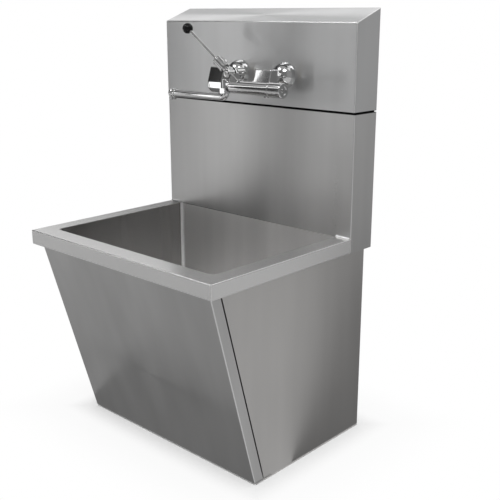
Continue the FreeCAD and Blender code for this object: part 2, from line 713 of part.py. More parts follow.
GASKET_BOTTOM = LANDING_UNDER - GASKET
LOCKNUT_TOP = GASKET_BOTTOM - FRICTION_WASHER


def strainer_locknut():
    """Ring nut with lugs that pulls the strainer down on the bowl."""
    low = drain_point(LOCKNUT_TOP - LOCKNUT_HEIGHT)
    high = drain_point(LOCKNUT_TOP)
    nut = bar(low, high, LOCKNUT_RADIUS)
    for step in range(LOCKNUT_LUGS):
        turn = 2 * math.pi * step / LOCKNUT_LUGS
        arm = Vector(math.cos(turn), math.sin(turn), 0) * LOCKNUT_RADIUS
        nut = nut.fuse(bar(low + arm, high + arm, LOCKNUT_LUG))
    return nut.removeSplitter().cut(bar(low, high, STRAINER_CUP + FIT))


TAIL_TOP = SPIGOT_BOTTOM - SLIP_WASHER
SOCKET_RADIUS = SPIGOT_RADIUS
SOCKET_BORE = WASTE_RADIUS + SLIP
TRAP_TOP = TAIL_TOP - TRAP_DROP
SOCKET_BOTTOM = TRAP_TOP - SOCKET_DEPTH
BEND_CENTRE = SOCKET_BOTTOM - TRAP_STRAIGHT
OUTLET_SOCKET_TOP = SOCKET_BOTTOM + SOCKET_DEPTH - TRAP_STEP
TRAP_OUTLET_HEIGHT = OUTLET_SOCKET_TOP + ARM_RISE


def tailpiece():
    tail = tube(drain_point(TRAP_TOP - TAIL_LAP), drain_point(TAIL_TOP), WASTE_RADIUS, WASTE_BORE)
    return join(tail, drain_ring(TAIL_TOP, TAIL_FLANGE, SPIGOT_RADIUS - SLIP, WASTE_BORE))


def slip_nut(lip_end, into, thread, reach=0.0):
    """Slip nut: a lip round the tube, and a threaded skirt that runs up (into = 1) or down (-1)."""
    start = drain_point(lip_end, reach)
    lip = start + UP * (into * SLIP_LIP)
    end = start + UP * (into * SLIP_NUT_HEIGHT)
    nut = bar(start, end, SLIP_NUT_RADIUS).cut(bar(start, lip, WASTE_RADIUS + SLIP))
    for step in range(SLIP_NUT_RIBS):
        turn = 2 * math.pi * step / SLIP_NUT_RIBS
        side = Vector(math.cos(turn), math.sin(turn), 0) * SLIP_NUT_RADIUS
        nut = nut.cut(bar(start + side, end + side, SLIP_NUT_RIB))
    return nut.cut(bar(lip, end, thread + SLIP))


def slip_nuts():
    return [slip_nut(TAIL_TOP - TAIL_FLANGE - SLIP_LIP, 1, SPIGOT_RADIUS),
            slip_nut(TRAP_TOP + SLIP_WASHER + SLIP_LIP, -1, SOCKET_RADIUS),
            slip_nut(OUTLET_SOCKET_TOP + SLIP_WASHER + SLIP_LIP, -1, SOCKET_RADIUS, TRAP_REACH)]


def slip_washers():
    outlet = tube(drain_point(OUTLET_SOCKET_TOP, TRAP_REACH),
                  drain_point(OUTLET_SOCKET_TOP + SLIP_WASHER, TRAP_REACH),
                  SOCKET_RADIUS, WASTE_RADIUS + SLIP)
    return [drain_ring(SPIGOT_BOTTOM, SLIP_WASHER, SPIGOT_RADIUS, WASTE_BORE),
            drain_ring(TRAP_TOP + SLIP_WASHER, SLIP_WASHER, SOCKET_RADIUS, WASTE_RADIUS + SLIP), outlet]


def swept(path, radius):
    """Round bar along a wire of straight runs and arcs."""
    first = path.OrderedEdges[0]
    ring = Part.Wire([Part.Circle(first.valueAt(first.FirstParameter), first.tangentAt(first.FirstParameter),
                                  radius).toShape()])
    return path.makePipeShell([ring], True, False)


def socket(bottom, reach):
    """Socket with a shoulder at its foot that a tube slides into."""
    low = drain_point(bottom - SOCKET_SHOULDER, reach)
    high = drain_point(bottom + SOCKET_DEPTH, reach)
    body = tube(low, high, SOCKET_RADIUS, WASTE_BORE)
    return body.cut(bar(drain_point(bottom, reach), high, SOCKET_BORE))


def trap_bend():
    """J-bend with a threaded socket at each end."""
    half = TRAP_REACH / 2
    line_down = Part.LineSegment(drain_point(SOCKET_BOTTOM), drain_point(BEND_CENTRE)).toShape()
    arc = Part.Arc(drain_point(BEND_CENTRE), drain_point(BEND_CENTRE - half, half),
                   drain_point(BEND_CENTRE, TRAP_REACH)).toShape()
    outlet_bottom = OUTLET_SOCKET_TOP - SOCKET_DEPTH
    line_up = Part.LineSegment(drain_point(BEND_CENTRE, TRAP_REACH),
                               drain_point(outlet_bottom, TRAP_REACH)).toShape()
    path = Part.Wire([line_down, arc, line_up])
    bend = swept(path, WASTE_RADIUS).cut(swept(path, WASTE_BORE))
    return join(bend, socket(SOCKET_BOTTOM, 0), socket(outlet_bottom, TRAP_REACH))


def trap_arm():
    """Arm from the trap to the wall."""
    low = OUTLET_SOCKET_TOP - TAIL_LAP
    turn = TRAP_OUTLET_HEIGHT - ARM_BEND
    up = Part.LineSegment(drain_point(low, TRAP_REACH), drain_point(turn, TRAP_REACH)).toShape()
    middle = ARM_BEND * (1 - math.sqrt(0.5))
    arc = Part.Arc(drain_point(turn, TRAP_REACH),
                   drain_point(TRAP_OUTLET_HEIGHT - middle, TRAP_REACH + middle),
                   drain_point(TRAP_OUTLET_HEIGHT, TRAP_REACH + ARM_BEND)).toShape()
    run = Part.LineSegment(drain_point(TRAP_OUTLET_HEIGHT, TRAP_REACH + ARM_BEND),
                           Vector(0, WALL, TRAP_OUTLET_HEIGHT)).toShape()
    path = Part.Wire([up, arc, run])
    return swept(path, WASTE_RADIUS).cut(swept(path, WASTE_BORE))


# ---------------------------------------------------------------- faucet: wall side
NIPPLE_BORE = NIPPLE_RADIUS - NIPPLE_WALL
UNION_INNER = UNION_START + UNION_LIP
NIPPLE_END = UNION_INNER + NIPPLE_COLLAR
SPIGOT_START = NIPPLE_END + UNION_WASHER


def wall_flange(x):
    """Thin domed cover round the nipple, resting on the hood."""
    sphere = (DOME_RADIUS ** 2 + DOME_DEPTH ** 2) / (2 * DOME_DEPTH)
    centre = out(x, DOME_DEPTH - sphere, INLET_HEIGHT)
    shell = Part.makeSphere(sphere, centre).cut(Part.makeSphere(sphere - DOME_WALL, centre))
    behind = block(x - 2 * sphere, x + 2 * sphere, HOOD_FACE, HOOD_FACE + 4 * sphere,
                   INLET_HEIGHT - 2 * sphere, INLET_HEIGHT + 2 * sphere)
    hole = bar(out(x, 0, INLET_HEIGHT), out(x, DOME_DEPTH + CUT, INLET_HEIGHT), NIPPLE_RADIUS + SLIP)
    return shell.cut(behind).cut(hole)


def inlet_nipple(x):
    """Supply nipple from the wall to the union: turned down at the wall end, with a collar in the nut."""
    shoulder = Vector(x, WALL - NIPPLE_END_LENGTH, INLET_HEIGHT)
    pipe = tube(out(x, NIPPLE_END, INLET_HEIGHT), shoulder, NIPPLE_RADIUS, NIPPLE_BORE)
    tail = tube(shoulder, Vector(x, WALL, INLET_HEIGHT), NIPPLE_END_RADIUS, NIPPLE_BORE)
    collar = tube(out(x, UNION_INNER + SLIP, INLET_HEIGHT), out(x, NIPPLE_END, INLET_HEIGHT),
                  CASTING_SPIGOT - SLIP, NIPPLE_BORE)
    return join(pipe, tail, collar)


def nipple_locknut(x):
    start = out(x, -SHEET, INLET_HEIGHT)
    end = out(x, -SHEET - LOCKNUT_THICKNESS, INLET_HEIGHT)
    return hexagon(start, end, LOCKNUT_FLATS).cut(bar(start, end, NIPPLE_RADIUS + FIT))


def union_nut(x):
    start = out(x, UNION_START, INLET_HEIGHT)
    inner = out(x, UNION_INNER, INLET_HEIGHT)
    end = out(x, UNION_START + UNION_LENGTH, INLET_HEIGHT)
    nut = hexagon(start, end, UNION_FLATS)
    nut = nut.common(bar(start, end, UNION_FLATS / math.sqrt(3) - CUT))
    return nut.cut(bar(start, inner, NIPPLE_RADIUS + SLIP)).cut(bar(inner, end, CASTING_SPIGOT + FIT))


def union_washers():
    """Rubber washers in the two wall unions and the two side unions."""
    washers = []
    for x in INLETS:
        washers.append(tube(out(x, NIPPLE_END, INLET_HEIGHT), out(x, SPIGOT_START, INLET_HEIGHT),
                            CASTING_SPIGOT - SLIP, CASTING_BORE))
    for x in (LEFT_JOINT, 2 * INLET_CENTRE - LEFT_JOINT - UNION_WASHER):
        washers.append(tube(bridge_point(x), bridge_point(x + UNION_WASHER), SIDE_SPIGOT, BRIDGE_BORE))
    return washers


# ---------------------------------------------------------------- faucet: inlet castings with stops
LEFT_FACE = INLETS[0] + CASTING_WIDTH / 2
LEFT_JOINT = LEFT_FACE + SIDE_SPIGOT_LENGTH


def inlet_mirror(shape):
    return shape.mirror(Vector(INLET_CENTRE, 0, 0), Vector(1, 0, 0))


def stop_body_left():
    """Chunky casting with a leaning front face; a quarter-turn stop sits in it from below."""
    x = INLETS[0]
    side_view = [(CASTING_BACK, CASTING_TOP), (CASTING_TOP_OUT, CASTING_TOP),
                 (CASTING_NOSE_OUT, CASTING_NOSE_TOP),
                 (CASTING_NOSE_OUT, CASTING_NOSE_LOW), (CASTING_BOTTOM_OUT, CASTING_BOTTOM),
                 (CASTING_BACK, CASTING_BOTTOM)]
    outline = [(HOOD_FACE - distance, z) for distance, z in side_view]
    body = across(outline, x - CASTING_WIDTH / 2, LEFT_FACE)
    body = body.makeFillet(CASTING_ROUND, body.Edges)
    spigot = bar(out(x, SPIGOT_START, INLET_HEIGHT), out(x, CASTING_BACK + CASTING_ROUND, INLET_HEIGHT),
                 CASTING_SPIGOT)
    side = bar(out(x, BRIDGE_OUT, BRIDGE_HEIGHT), out(LEFT_JOINT, BRIDGE_OUT, BRIDGE_HEIGHT), SIDE_SPIGOT)
    body = join(body, spigot, side)
    passages = (
        bar(out(x, SPIGOT_START - CUT, INLET_HEIGHT), out(x, CASTING_BORE_END, INLET_HEIGHT), CASTING_BORE),
        bar(out(x, STOP_OUT - STOP_OFFSET, BRIDGE_HEIGHT), out(x, STOP_OUT - STOP_OFFSET, INLET_HEIGHT),
            STOP_PORT),
        bar(out(x, STOP_OUT - STOP_OFFSET, BRIDGE_HEIGHT), out(x, BRIDGE_OUT, BRIDGE_HEIGHT), STOP_PORT),
        bar(out(x, BRIDGE_OUT, BRIDGE_HEIGHT), out(LEFT_JOINT + CUT, BRIDGE_OUT, BRIDGE_HEIGHT),
            BRIDGE_BORE),
        bar(out(x, STOP_OUT, CASTING_BOTTOM - CUT), out(x, STOP_OUT, STOP_TOP), STOP_RADIUS + FIT))
    for passage in passages:
        body = body.cut(passage)
    return body


def stop_stem_left():
    """Plug with a cross hole and a slotted head under the casting."""
    x = INLETS[0]
    head_top = CASTING_BOTTOM - SEAT
    head_bottom = head_top - STOP_HEAD_HEIGHT
    stem = join(bar(out(x, STOP_OUT, head_bottom), out(x, STOP_OUT, STOP_TOP - SEAT), STOP_RADIUS),
                bar(out(x, STOP_OUT, head_bottom), out(x, STOP_OUT, head_top), STOP_HEAD))
    hole = bar(out(x, STOP_OUT - STOP_HEAD, BRIDGE_HEIGHT), out(x, STOP_OUT + STOP_HEAD, BRIDGE_HEIGHT),
               STOP_PORT)
    screwdriver = block(x - STOP_HEAD - CUT, x + STOP_HEAD + CUT, HOOD_FACE - STOP_OUT - STOP_SLOT / 2,
                        HOOD_FACE - STOP_OUT + STOP_SLOT / 2, head_bottom - CUT,
                        head_bottom + STOP_HEAD_HEIGHT / 2)
    return stem.cut(hole).cut(screwdriver)


# ---------------------------------------------------------------- faucet: body and temperature side
BRIDGE_START = LEFT_JOINT + UNION_WASHER
BRIDGE_END = 2 * INLET_CENTRE - BRIDGE_START
LEVER_END_OUT = BARREL_OUT + HUB_LENGTH / 2


def barrel_point(x):
    return out(x, BARREL_OUT, BARREL_HEIGHT)


def bridge_point(x):
    return out(x, BRIDGE_OUT, BRIDGE_HEIGHT)


def valve_body():
    """Square body of the lever valve, in line with the lever and merging into the barrel."""
    corners = [(VALVE_START, -VALVE_HALF), (VALVE_START, VALVE_HALF), (VALVE_END, VALVE_HALF),
               (VALVE_END, -VALVE_HALF)]
    face = [lever_point(-along, aside) + Vector(0, VALVE_HALF, 0) for along, aside in corners]
    solid = Part.Face(Part.makePolygon(face + face[:1])).extrude(Vector(0, -2 * VALVE_HALF, 0))
    return solid.makeFillet(VALVE_ROUND, solid.Edges)


def mixer_body():
    """Cast body: a bridge between the two castings, the barrel in front, the lever valve above
    and the outlet at the left end of the barrel."""
    outlet = out(OUTLET_X, BARREL_OUT, 0)
    tower = bar(outlet + UP * SPOUT_NUT_TOP, outlet + UP * OUTLET_TOP, OUTLET_RADIUS)
    tower = fillet(tower, OUTLET_ROUND, lambda box: box.ZMin > OUTLET_TOP - CUT)
    barrel = bar(barrel_point(BARREL_START), barrel_point(BARREL_END), BARREL_RADIUS)
    arm = out(OUTLET_X, BARREL_OUT, OUTLET_ARM_HEIGHT)
    web_y = HOOD_FACE - BARREL_OUT
    body = join(
        bar(bridge_point(BRIDGE_START), bridge_point(BRIDGE_END), SIDE_SPIGOT),
        bar(bridge_point(BRIDGE_START + SIDE_THREAD), bridge_point(BRIDGE_END - SIDE_THREAD), BRIDGE_RADIUS),
        barrel, tower, valve_body(),
        bar(arm, out(CARTRIDGE_START, BARREL_OUT, OUTLET_ARM_HEIGHT), OUTLET_ARM),
        bar(outlet + UP * OUTLET_BOTTOM, outlet + UP * SPOUT_NUT_TOP, SPOUT_NUT_THREAD - SLIP),
        bar(pivot_point(CHAMBER_START), pivot_point(CHAMBER_END), CHAMBER_RADIUS),
        block(NECK_X - NECK_WIDTH / 2, NECK_X + NECK_WIDTH / 2, web_y, HOOD_FACE - BRIDGE_OUT,
              BRIDGE_HEIGHT - NECK_HEIGHT / 2, BRIDGE_HEIGHT + NECK_HEIGHT / 2),
        block(PIVOT_X - WEB_WIDTH / 2, PIVOT_X + WEB_WIDTH / 2, HOOD_FACE - CHAMBER_END,
              HOOD_FACE - CHAMBER_START, BRIDGE_HEIGHT, PIVOT_HEIGHT),
        block(PIVOT_X - WEB_WIDTH / 2, PIVOT_X + WEB_WIDTH / 2, web_y, HOOD_FACE - BRIDGE_OUT,
              BRIDGE_HEIGHT, BRIDGE_HEIGHT + NECK_HEIGHT / 2))
    port = BRIDGE_HEIGHT + PORT_RADIUS
    passages = (
        bar(barrel_point(CARTRIDGE_START - CHAMBER_FLOOR), barrel_point(BARREL_END + CUT), BARREL_BORE),
        bar(arm, out(CARTRIDGE_START, BARREL_OUT, OUTLET_ARM_HEIGHT), OUTLET_ARM_BORE),
        bar(outlet + UP * (OUTLET_BOTTOM - CUT), outlet + UP * SOCKET_TOP, OUTLET_BORE),
        bar(bridge_point(BRIDGE_START - CUT), bridge_point(NECK_X - BRIDGE_WALL / 2), BRIDGE_BORE),
        bar(bridge_point(NECK_X + BRIDGE_WALL / 2), bridge_point(BRIDGE_END + CUT), BRIDGE_BORE),
        bar(bridge_point(NECK_X - PORT_SPREAD), barrel_point(NECK_X - PORT_SPREAD), PORT_RADIUS),
        bar(bridge_point(NECK_X + PORT_SPREAD), barrel_point(NECK_X + PORT_SPREAD), PORT_RADIUS),
        bar(pivot_point(CHAMBER_START + CHAMBER_FLOOR), pivot_point(CHAMBER_END + CUT), CHAMBER_BORE),
        bar(out(PIVOT_X, CHAMBER_END - CHAMBER_FLOOR, port), pivot_point(CHAMBER_END - CHAMBER_FLOOR),
            CHAMBER_PORT),
        bar(out(PIVOT_X, CHAMBER_END - CHAMBER_FLOOR, port), out(PIVOT_X, BARREL_OUT, port), CHAMBER_PORT),
        bar(barrel_point(LIMIT_SCREW_X), barrel_point(LIMIT_SCREW_X) - UP * (BARREL_RADIUS + CUT),
            LIMIT_SCREW_RADIUS + FIT))
    for passage in passages:
        body = body.cut(passage)
    return body


def side_union_nuts():
    """Hexagonal couplings between the castings' side spigots and the bridge."""
    start = LEFT_FACE + SEAT
    end = start + SIDE_UNION_LENGTH
    nut = hexagon(bridge_point(start), bridge_point(end), SIDE_UNION_FLATS)
    nut = nut.cut(bar(bridge_point(start - CUT), bridge_point(end + CUT), SIDE_SPIGOT + FIT))
    return [nut, inlet_mirror(nut)]


def thermostatic_cartridge():
    """Sleeve in the barrel, with the chamber of the mixing shuttle and two inlet ports."""
    chamber0 = SHUTTLE_CENTRE - SHUTTLE_CHAMBER / 2
    chamber1 = SHUTTLE_CENTRE + SHUTTLE_CHAMBER / 2
    sleeve = bar(barrel_point(CARTRIDGE_START), barrel_point(BARREL_END), BARREL_BORE - SLIP)
    passages = (
        bar(barrel_point(CARTRIDGE_START - CUT), barrel_point(chamber0), SHUTTLE_RADIUS / 2),
        bar(barrel_point(chamber0), barrel_point(chamber1), SHUTTLE_RADIUS + FIT),
        bar(barrel_point(chamber1), barrel_point(BARREL_END + CUT), SPINDLE_RADIUS + FIT),
        bar(bridge_point(NECK_X - PORT_SPREAD), barrel_point(NECK_X - PORT_SPREAD), PORT_RADIUS - CUT),
        bar(bridge_point(NECK_X + PORT_SPREAD), barrel_point(NECK_X + PORT_SPREAD), PORT_RADIUS - CUT))
    for passage in passages:
        sleeve = sleeve.cut(passage)
    return sleeve


def mixing_shuttle():
    """Sliding piston that shares the flow between hot and cold."""
    x0 = SHUTTLE_CENTRE - SHUTTLE_LENGTH / 2
    piston = bar(barrel_point(x0), barrel_point(x0 + SHUTTLE_LENGTH), SHUTTLE_RADIUS)
    waist = tube(barrel_point(x0 + SHUTTLE_LENGTH / 3), barrel_point(x0 + 2 * SHUTTLE_LENGTH / 3),
                 SHUTTLE_RADIUS + CUT, SHUTTLE_RADIUS - SHUTTLE_WAIST)
    return piston.cut(waist)


RING_END = BARREL_END + RING_LENGTH
KNOB_START = RING_END + KNOB_GAP
KNOB_END = KNOB_START + KNOB_LENGTH
SPINDLE_START = SHUTTLE_CENTRE + SHUTTLE_LENGTH / 2 + SHUTTLE_TRAVEL + CUT
SPINDLE_END = KNOB_END - KNOB_RECESS - KNOB_FACE


def temperature_spindle():
    spindle = bar(barrel_point(SPINDLE_START), barrel_point(SPINDLE_END), SPINDLE_RADIUS)
    return spindle.cut(bar(barrel_point(SPINDLE_END - KNOB_SCREW_DEPTH), barrel_point(SPINDLE_END + CUT),
                           KNOB_SCREW + FIT))


def temperature_ring():
    """Fixed collar between the barrel and the knob, with an index bead on top."""
    ring = bar(barrel_point(BARREL_END), barrel_point(RING_END), RING_RADIUS)
    ring = fillet(ring, EDGE_ROUND, lambda box: box.XLength < 1e-3)
    bead = Part.makeSphere(RING_BEAD, barrel_point(BARREL_END + RING_LENGTH / 2) + UP * RING_RADIUS)
    ring = join(ring, bead)
    return ring.cut(bar(barrel_point(BARREL_END - CUT), barrel_point(RING_END + CUT), SPINDLE_RADIUS + FIT))


def temperature_knob():
    """Turned knob, hollow behind, with a dished end."""
    knob = bar(barrel_point(KNOB_START), barrel_point(KNOB_END), KNOB_RADIUS)
    knob = fillet(knob, KNOB_ROUND, lambda box: box.XLength < 1e-3)
    dish = bar(barrel_point(KNOB_END - KNOB_RECESS), barrel_point(KNOB_END + CUT), KNOB_RADIUS - KNOB_WALL)
    hollow = tube(barrel_point(KNOB_START - CUT), barrel_point(KNOB_START + KNOB_HOLLOW),
                  KNOB_RADIUS - KNOB_WALL / 2, 2 * SPINDLE_RADIUS)
    bore = bar(barrel_point(KNOB_START - CUT), barrel_point(SPINDLE_END), SPINDLE_RADIUS + FIT)
    screw_hole = bar(barrel_point(SPINDLE_END - CUT), barrel_point(KNOB_END), KNOB_SCREW + FIT)
    return knob.cut(dish).cut(hollow).cut(bore).cut(screw_hole)


def knob_screw():
    seat = KNOB_END - KNOB_RECESS
    head = bar(barrel_point(seat), barrel_point(seat + KNOB_RECESS - SEAT), KNOB_SCREW_HEAD)
    shank = bar(barrel_point(SPINDLE_END - KNOB_SCREW_DEPTH + SEAT), barrel_point(seat), KNOB_SCREW)
    return join(head, shank)


def limit_screw():
    axis = barrel_point(LIMIT_SCREW_X)
    return bar(axis - UP * (BARREL_BORE - SLIP), axis - UP * (BARREL_RADIUS + LIMIT_SCREW_PROUD),
               LIMIT_SCREW_RADIUS)


# ---------------------------------------------------------------- faucet: lever side
def lever_point(along, aside=0.0):
    """Point on the lever: a distance from the pivot along it, and to its upper right side."""
    angle = math.radians(LEVER_ANGLE)
    x = PIVOT_X + along * math.cos(angle) + aside * math.sin(angle)
    z = PIVOT_HEIGHT + along * math.sin(angle) - aside * math.cos(angle)
    return out(x, BARREL_OUT, z)


def pivot_point(distance):
    return out(PIVOT_X, distance, PIVOT_HEIGHT)


HUB_BACK = BARREL_OUT - HUB_LENGTH / 2
CARTRIDGE_BACK = CHAMBER_START + CHAMBER_FLOOR
SPINDLE_BACK = CARTRIDGE_BACK + CHAMBER_FLOOR


def lever_cartridge():
    body = bar(pivot_point(CARTRIDGE_BACK), pivot_point(CHAMBER_END), CHAMBER_BORE - SLIP)
    return body.cut(bar(pivot_point(SPINDLE_BACK), pivot_point(CHAMBER_END + CUT), SPINDLE_RADIUS + FIT))


def bonnet_nut():
    nut = hexagon(pivot_point(CHAMBER_END), pivot_point(CHAMBER_END + BONNET_LENGTH), BONNET_FLATS)
    return nut.cut(bar(pivot_point(CHAMBER_END - CUT), pivot_point(CHAMBER_END + BONNET_LENGTH + CUT),
                       SPINDLE_RADIUS + FIT))


def lever_spindle():
    spindle = bar(pivot_point(SPINDLE_BACK + SEAT), pivot_point(LEVER_END_OUT), SPINDLE_RADIUS)
    return spindle.cut(bar(pivot_point(LEVER_END_OUT - HUB_SCREW_DEPTH), pivot_point(LEVER_END_OUT + CUT),
                           HUB_SCREW + FIT))


def lever_hub():
    """Boss on the spindle with a fluted sleeve and a collar that take the rod."""
    boss = bar(pivot_point(HUB_BACK), pivot_point(LEVER_END_OUT), HUB_RADIUS)
    boss = fillet(boss, EDGE_ROUND, lambda box: box.YLength < 1e-3)
    neck = bar(lever_point(0), lever_point(SLEEVE_START), LEVER_NECK_RADIUS)
    sleeve = bar(lever_point(SLEEVE_START), lever_point(SLEEVE_END), SLEEVE_RADIUS)
    for step in range(SLEEVE_FLUTES):
        turn = 360 * (step + 0.5) / SLEEVE_FLUTES
        flute = bar(lever_point(SLEEVE_START - CUT, SLEEVE_RADIUS + SLEEVE_FLUTE / 2),
                    lever_point(SLEEVE_END + CUT, SLEEVE_RADIUS + SLEEVE_FLUTE / 2), SLEEVE_FLUTE)
        flute.rotate(lever_point(0), lever_point(1) - lever_point(0), turn)
        sleeve = sleeve.cut(flute)
    collar = bar(lever_point(SLEEVE_END), lever_point(COLLAR_END), COLLAR_RADIUS)
    collar = fillet(collar, COLLAR_ROUND, lambda box: box.XLength > COLLAR_RADIUS)
    hub = join(boss, neck, sleeve, collar)
    hub = hub.cut(bar(pivot_point(HUB_BACK - CUT), pivot_point(LEVER_END_OUT + CUT), SPINDLE_RADIUS + FIT))
    hub = hub.cut(bar(lever_point(LEVER_ROD_START), lever_point(COLLAR_END + CUT), LEVER_ROD_RADIUS + FIT))
    return hub.cut(bar(lever_point(SET_SCREW_PLACE), lever_point(SET_SCREW_PLACE, SLEEVE_RADIUS + CUT),
                       SET_SCREW_RADIUS + FIT))


def lever_fasteners():
    """Set screw in the sleeve, jam nut on the rod and the screw that holds the hub on its spindle."""
    set_screw = bar(lever_point(SET_SCREW_PLACE, LEVER_ROD_RADIUS + SLIP),
                    lever_point(SET_SCREW_PLACE, SLEEVE_RADIUS + SET_SCREW_PROUD), SET_SCREW_RADIUS)
    jam_end = COLLAR_END + LEVER_NUT_LENGTH
    jam = hexagon(lever_point(COLLAR_END), lever_point(jam_end), LEVER_NUT_FLATS)
    jam = jam.cut(bar(lever_point(COLLAR_END - CUT), lever_point(jam_end + CUT), LEVER_ROD_RADIUS + FIT))
    head = bar(pivot_point(LEVER_END_OUT), pivot_point(LEVER_END_OUT + HUB_SCREW_HEIGHT), HUB_SCREW_HEAD)
    head = fillet(head, EDGE_ROUND, lambda box: box.YMax < HOOD_FACE - LEVER_END_OUT - EDGE_ROUND)
    shank = bar(pivot_point(LEVER_END_OUT - HUB_SCREW_DEPTH + SEAT), pivot_point(LEVER_END_OUT), HUB_SCREW)
    return [set_screw, jam, join(head, shank)]


def lever_rod():
    return bar(lever_point(LEVER_ROD_START + SEAT), lever_point(LEVER_REACH), LEVER_ROD_RADIUS)


def ball_knob():
    ball = Part.makeSphere(BALL_RADIUS, lever_point(LEVER_REACH), lever_point(1) - lever_point(0))
    flat = bar(lever_point(LEVER_REACH - BALL_RADIUS - CUT), lever_point(LEVER_REACH - BALL_FLAT),
               BALL_RADIUS)
    return ball.cut(flat).cut(bar(lever_point(0), lever_point(LEVER_REACH + SEAT), LEVER_ROD_RADIUS + FIT))


# ---------------------------------------------------------------- faucet: spout
def spout_point(x, z):
    return out(x, BARREL_OUT, z)


SPOUT_TIP = OUTLET_X - SPOUT_REACH
COLLAR_X = SPOUT_TIP + SPOUT_BALL - SPOUT_STEP
NUT_BOTTOM = SPOUT_HEIGHT + SPOUT_BEND
SHOULDER_BOTTOM = NUT_BOTTOM + SPOUT_LIP + SLIP
SEAL_HEIGHTS = (SPOUT_NUT_TOP - SEAL_SECTION, SPOUT_NUT_TOP + SEAL_SECTION)


def spout_path():
    """Centre line of the spout from its spigot, round the bend and out to the tip."""
    middle = SPOUT_BEND * (1 - math.sqrt(0.5))
    down = Part.LineSegment(spout_point(OUTLET_X, NUT_BOTTOM + SPOUT_LIP),
                            spout_point(OUTLET_X, NUT_BOTTOM)).toShape()
    arc = Part.Arc(spout_point(OUTLET_X, NUT_BOTTOM), spout_point(OUTLET_X - middle, SPOUT_HEIGHT + middle),
                   spout_point(OUTLET_X - SPOUT_BEND, SPOUT_HEIGHT)).toShape()
    return Part.Wire([down, arc])


def spout_tube():
    """Swing spout: grooved spigot, tight bend, and a tube that widens to a ball end above its outlet."""
    axis = spout_point(OUTLET_X, 0)
    elbow_end = spout_point(OUTLET_X - SPOUT_BEND, SPOUT_HEIGHT)
    tip = spout_point(SPOUT_TIP, SPOUT_HEIGHT)
    collar = bar(spout_point(COLLAR_X, SPOUT_HEIGHT), spout_point(COLLAR_X + SPOUT_COLLAR, SPOUT_HEIGHT),
                 SPOUT_TIP_RADIUS + SPOUT_STEP)
    collar = fillet(collar, SPOUT_STEP, lambda box: box.XLength < 1e-3)
    mouth = tip - UP * MOUTH_DROP
    body = join(
        bar(axis + UP * SHOULDER_BOTTOM, axis + UP * SPOUT_SPIGOT_TOP, SPOUT_SPIGOT),
        bar(axis + UP * SHOULDER_BOTTOM, axis + UP * (OUTLET_BOTTOM - SLIP), SPOUT_NUT_THREAD - SEAT),
        bar(axis + UP * NUT_BOTTOM, axis + UP * SHOULDER_BOTTOM, SPOUT_SPIGOT),
        swept(spout_path(), SPOUT_RADIUS),
        cone(elbow_end, spout_point(SPOUT_TIP + SPOUT_COLLAR, SPOUT_HEIGHT), SPOUT_RADIUS, SPOUT_TIP_RADIUS),
        collar, Part.makeSphere(SPOUT_BALL, tip), bar(tip, mouth, AERATOR_RADIUS + SPOUT_STEP))
    body = body.cut(bar(axis + UP * NUT_BOTTOM, axis + UP * (SPOUT_SPIGOT_TOP + CUT), SPOUT_BORE))
    body = body.cut(swept(spout_path(), SPOUT_BORE))
    body = body.cut(bar(elbow_end, tip, SPOUT_BORE)).cut(bar(tip, mouth - UP * CUT, SPOUT_BORE))
    body = body.cut(bar(mouth + UP * AERATOR_SEAT, mouth - UP * CUT, AERATOR_RADIUS + FIT))
    for z in SEAL_HEIGHTS:
        body = body.cut(tube(axis + UP * z, axis + UP * (z + SEAL_SECTION + 2 * FIT), SPOUT_SPIGOT + CUT,
                             SPOUT_SPIGOT - SEAL_GROOVE))
    return body


def spout_seals():
    axis = spout_point(OUTLET_X, 0)
    return [tube(axis + UP * (z + FIT), axis + UP * (z + FIT + SEAL_SECTION), OUTLET_BORE - SEAL_PLAY,
                 SPOUT_SPIGOT - SEAL_GROOVE + SEAL_PLAY) for z in SEAL_HEIGHTS]


def spout_nut():
    """Hexagonal nut that carries the spout's shoulder."""
    axis = spout_point(OUTLET_X, 0)
    nut = hexagon(axis + UP * NUT_BOTTOM, axis + UP * SPOUT_NUT_TOP, SPOUT_NUT_FLATS)
    nut = nut.cut(bar(axis + UP * (NUT_BOTTOM + SPOUT_LIP), axis + UP * (SPOUT_NUT_TOP + CUT),
                      SPOUT_NUT_THREAD))
    return nut.cut(bar(axis + UP * (NUT_BOTTOM - CUT), axis + UP * SPOUT_NUT_TOP, SPOUT_SPIGOT + FIT))


def aerator():
    """Slotted insert in the mouth of the spout."""
    mouth = spout_point(SPOUT_TIP, SPOUT_HEIGHT - MOUTH_DROP)
    body = tube(mouth + UP * AERATOR_SEAT, mouth - UP * AERATOR_PROUD, AERATOR_RADIUS, SPOUT_BORE - CUT)
    disc = bar(mouth, mouth + UP * CUT, AERATOR_RADIUS)
    for step in range(AERATOR_SLOTS):
        x = SPOUT_TIP + (step - (AERATOR_SLOTS - 1) / 2) * AERATOR_PITCH
        disc = disc.cut(block(x - AERATOR_PITCH / 4, x + AERATOR_PITCH / 4, mouth.y - SPOUT_BORE / 2,
                              mouth.y + SPOUT_BORE / 2, mouth.z - CUT, mouth.z + 2 * CUT))
    return join(body, disc)


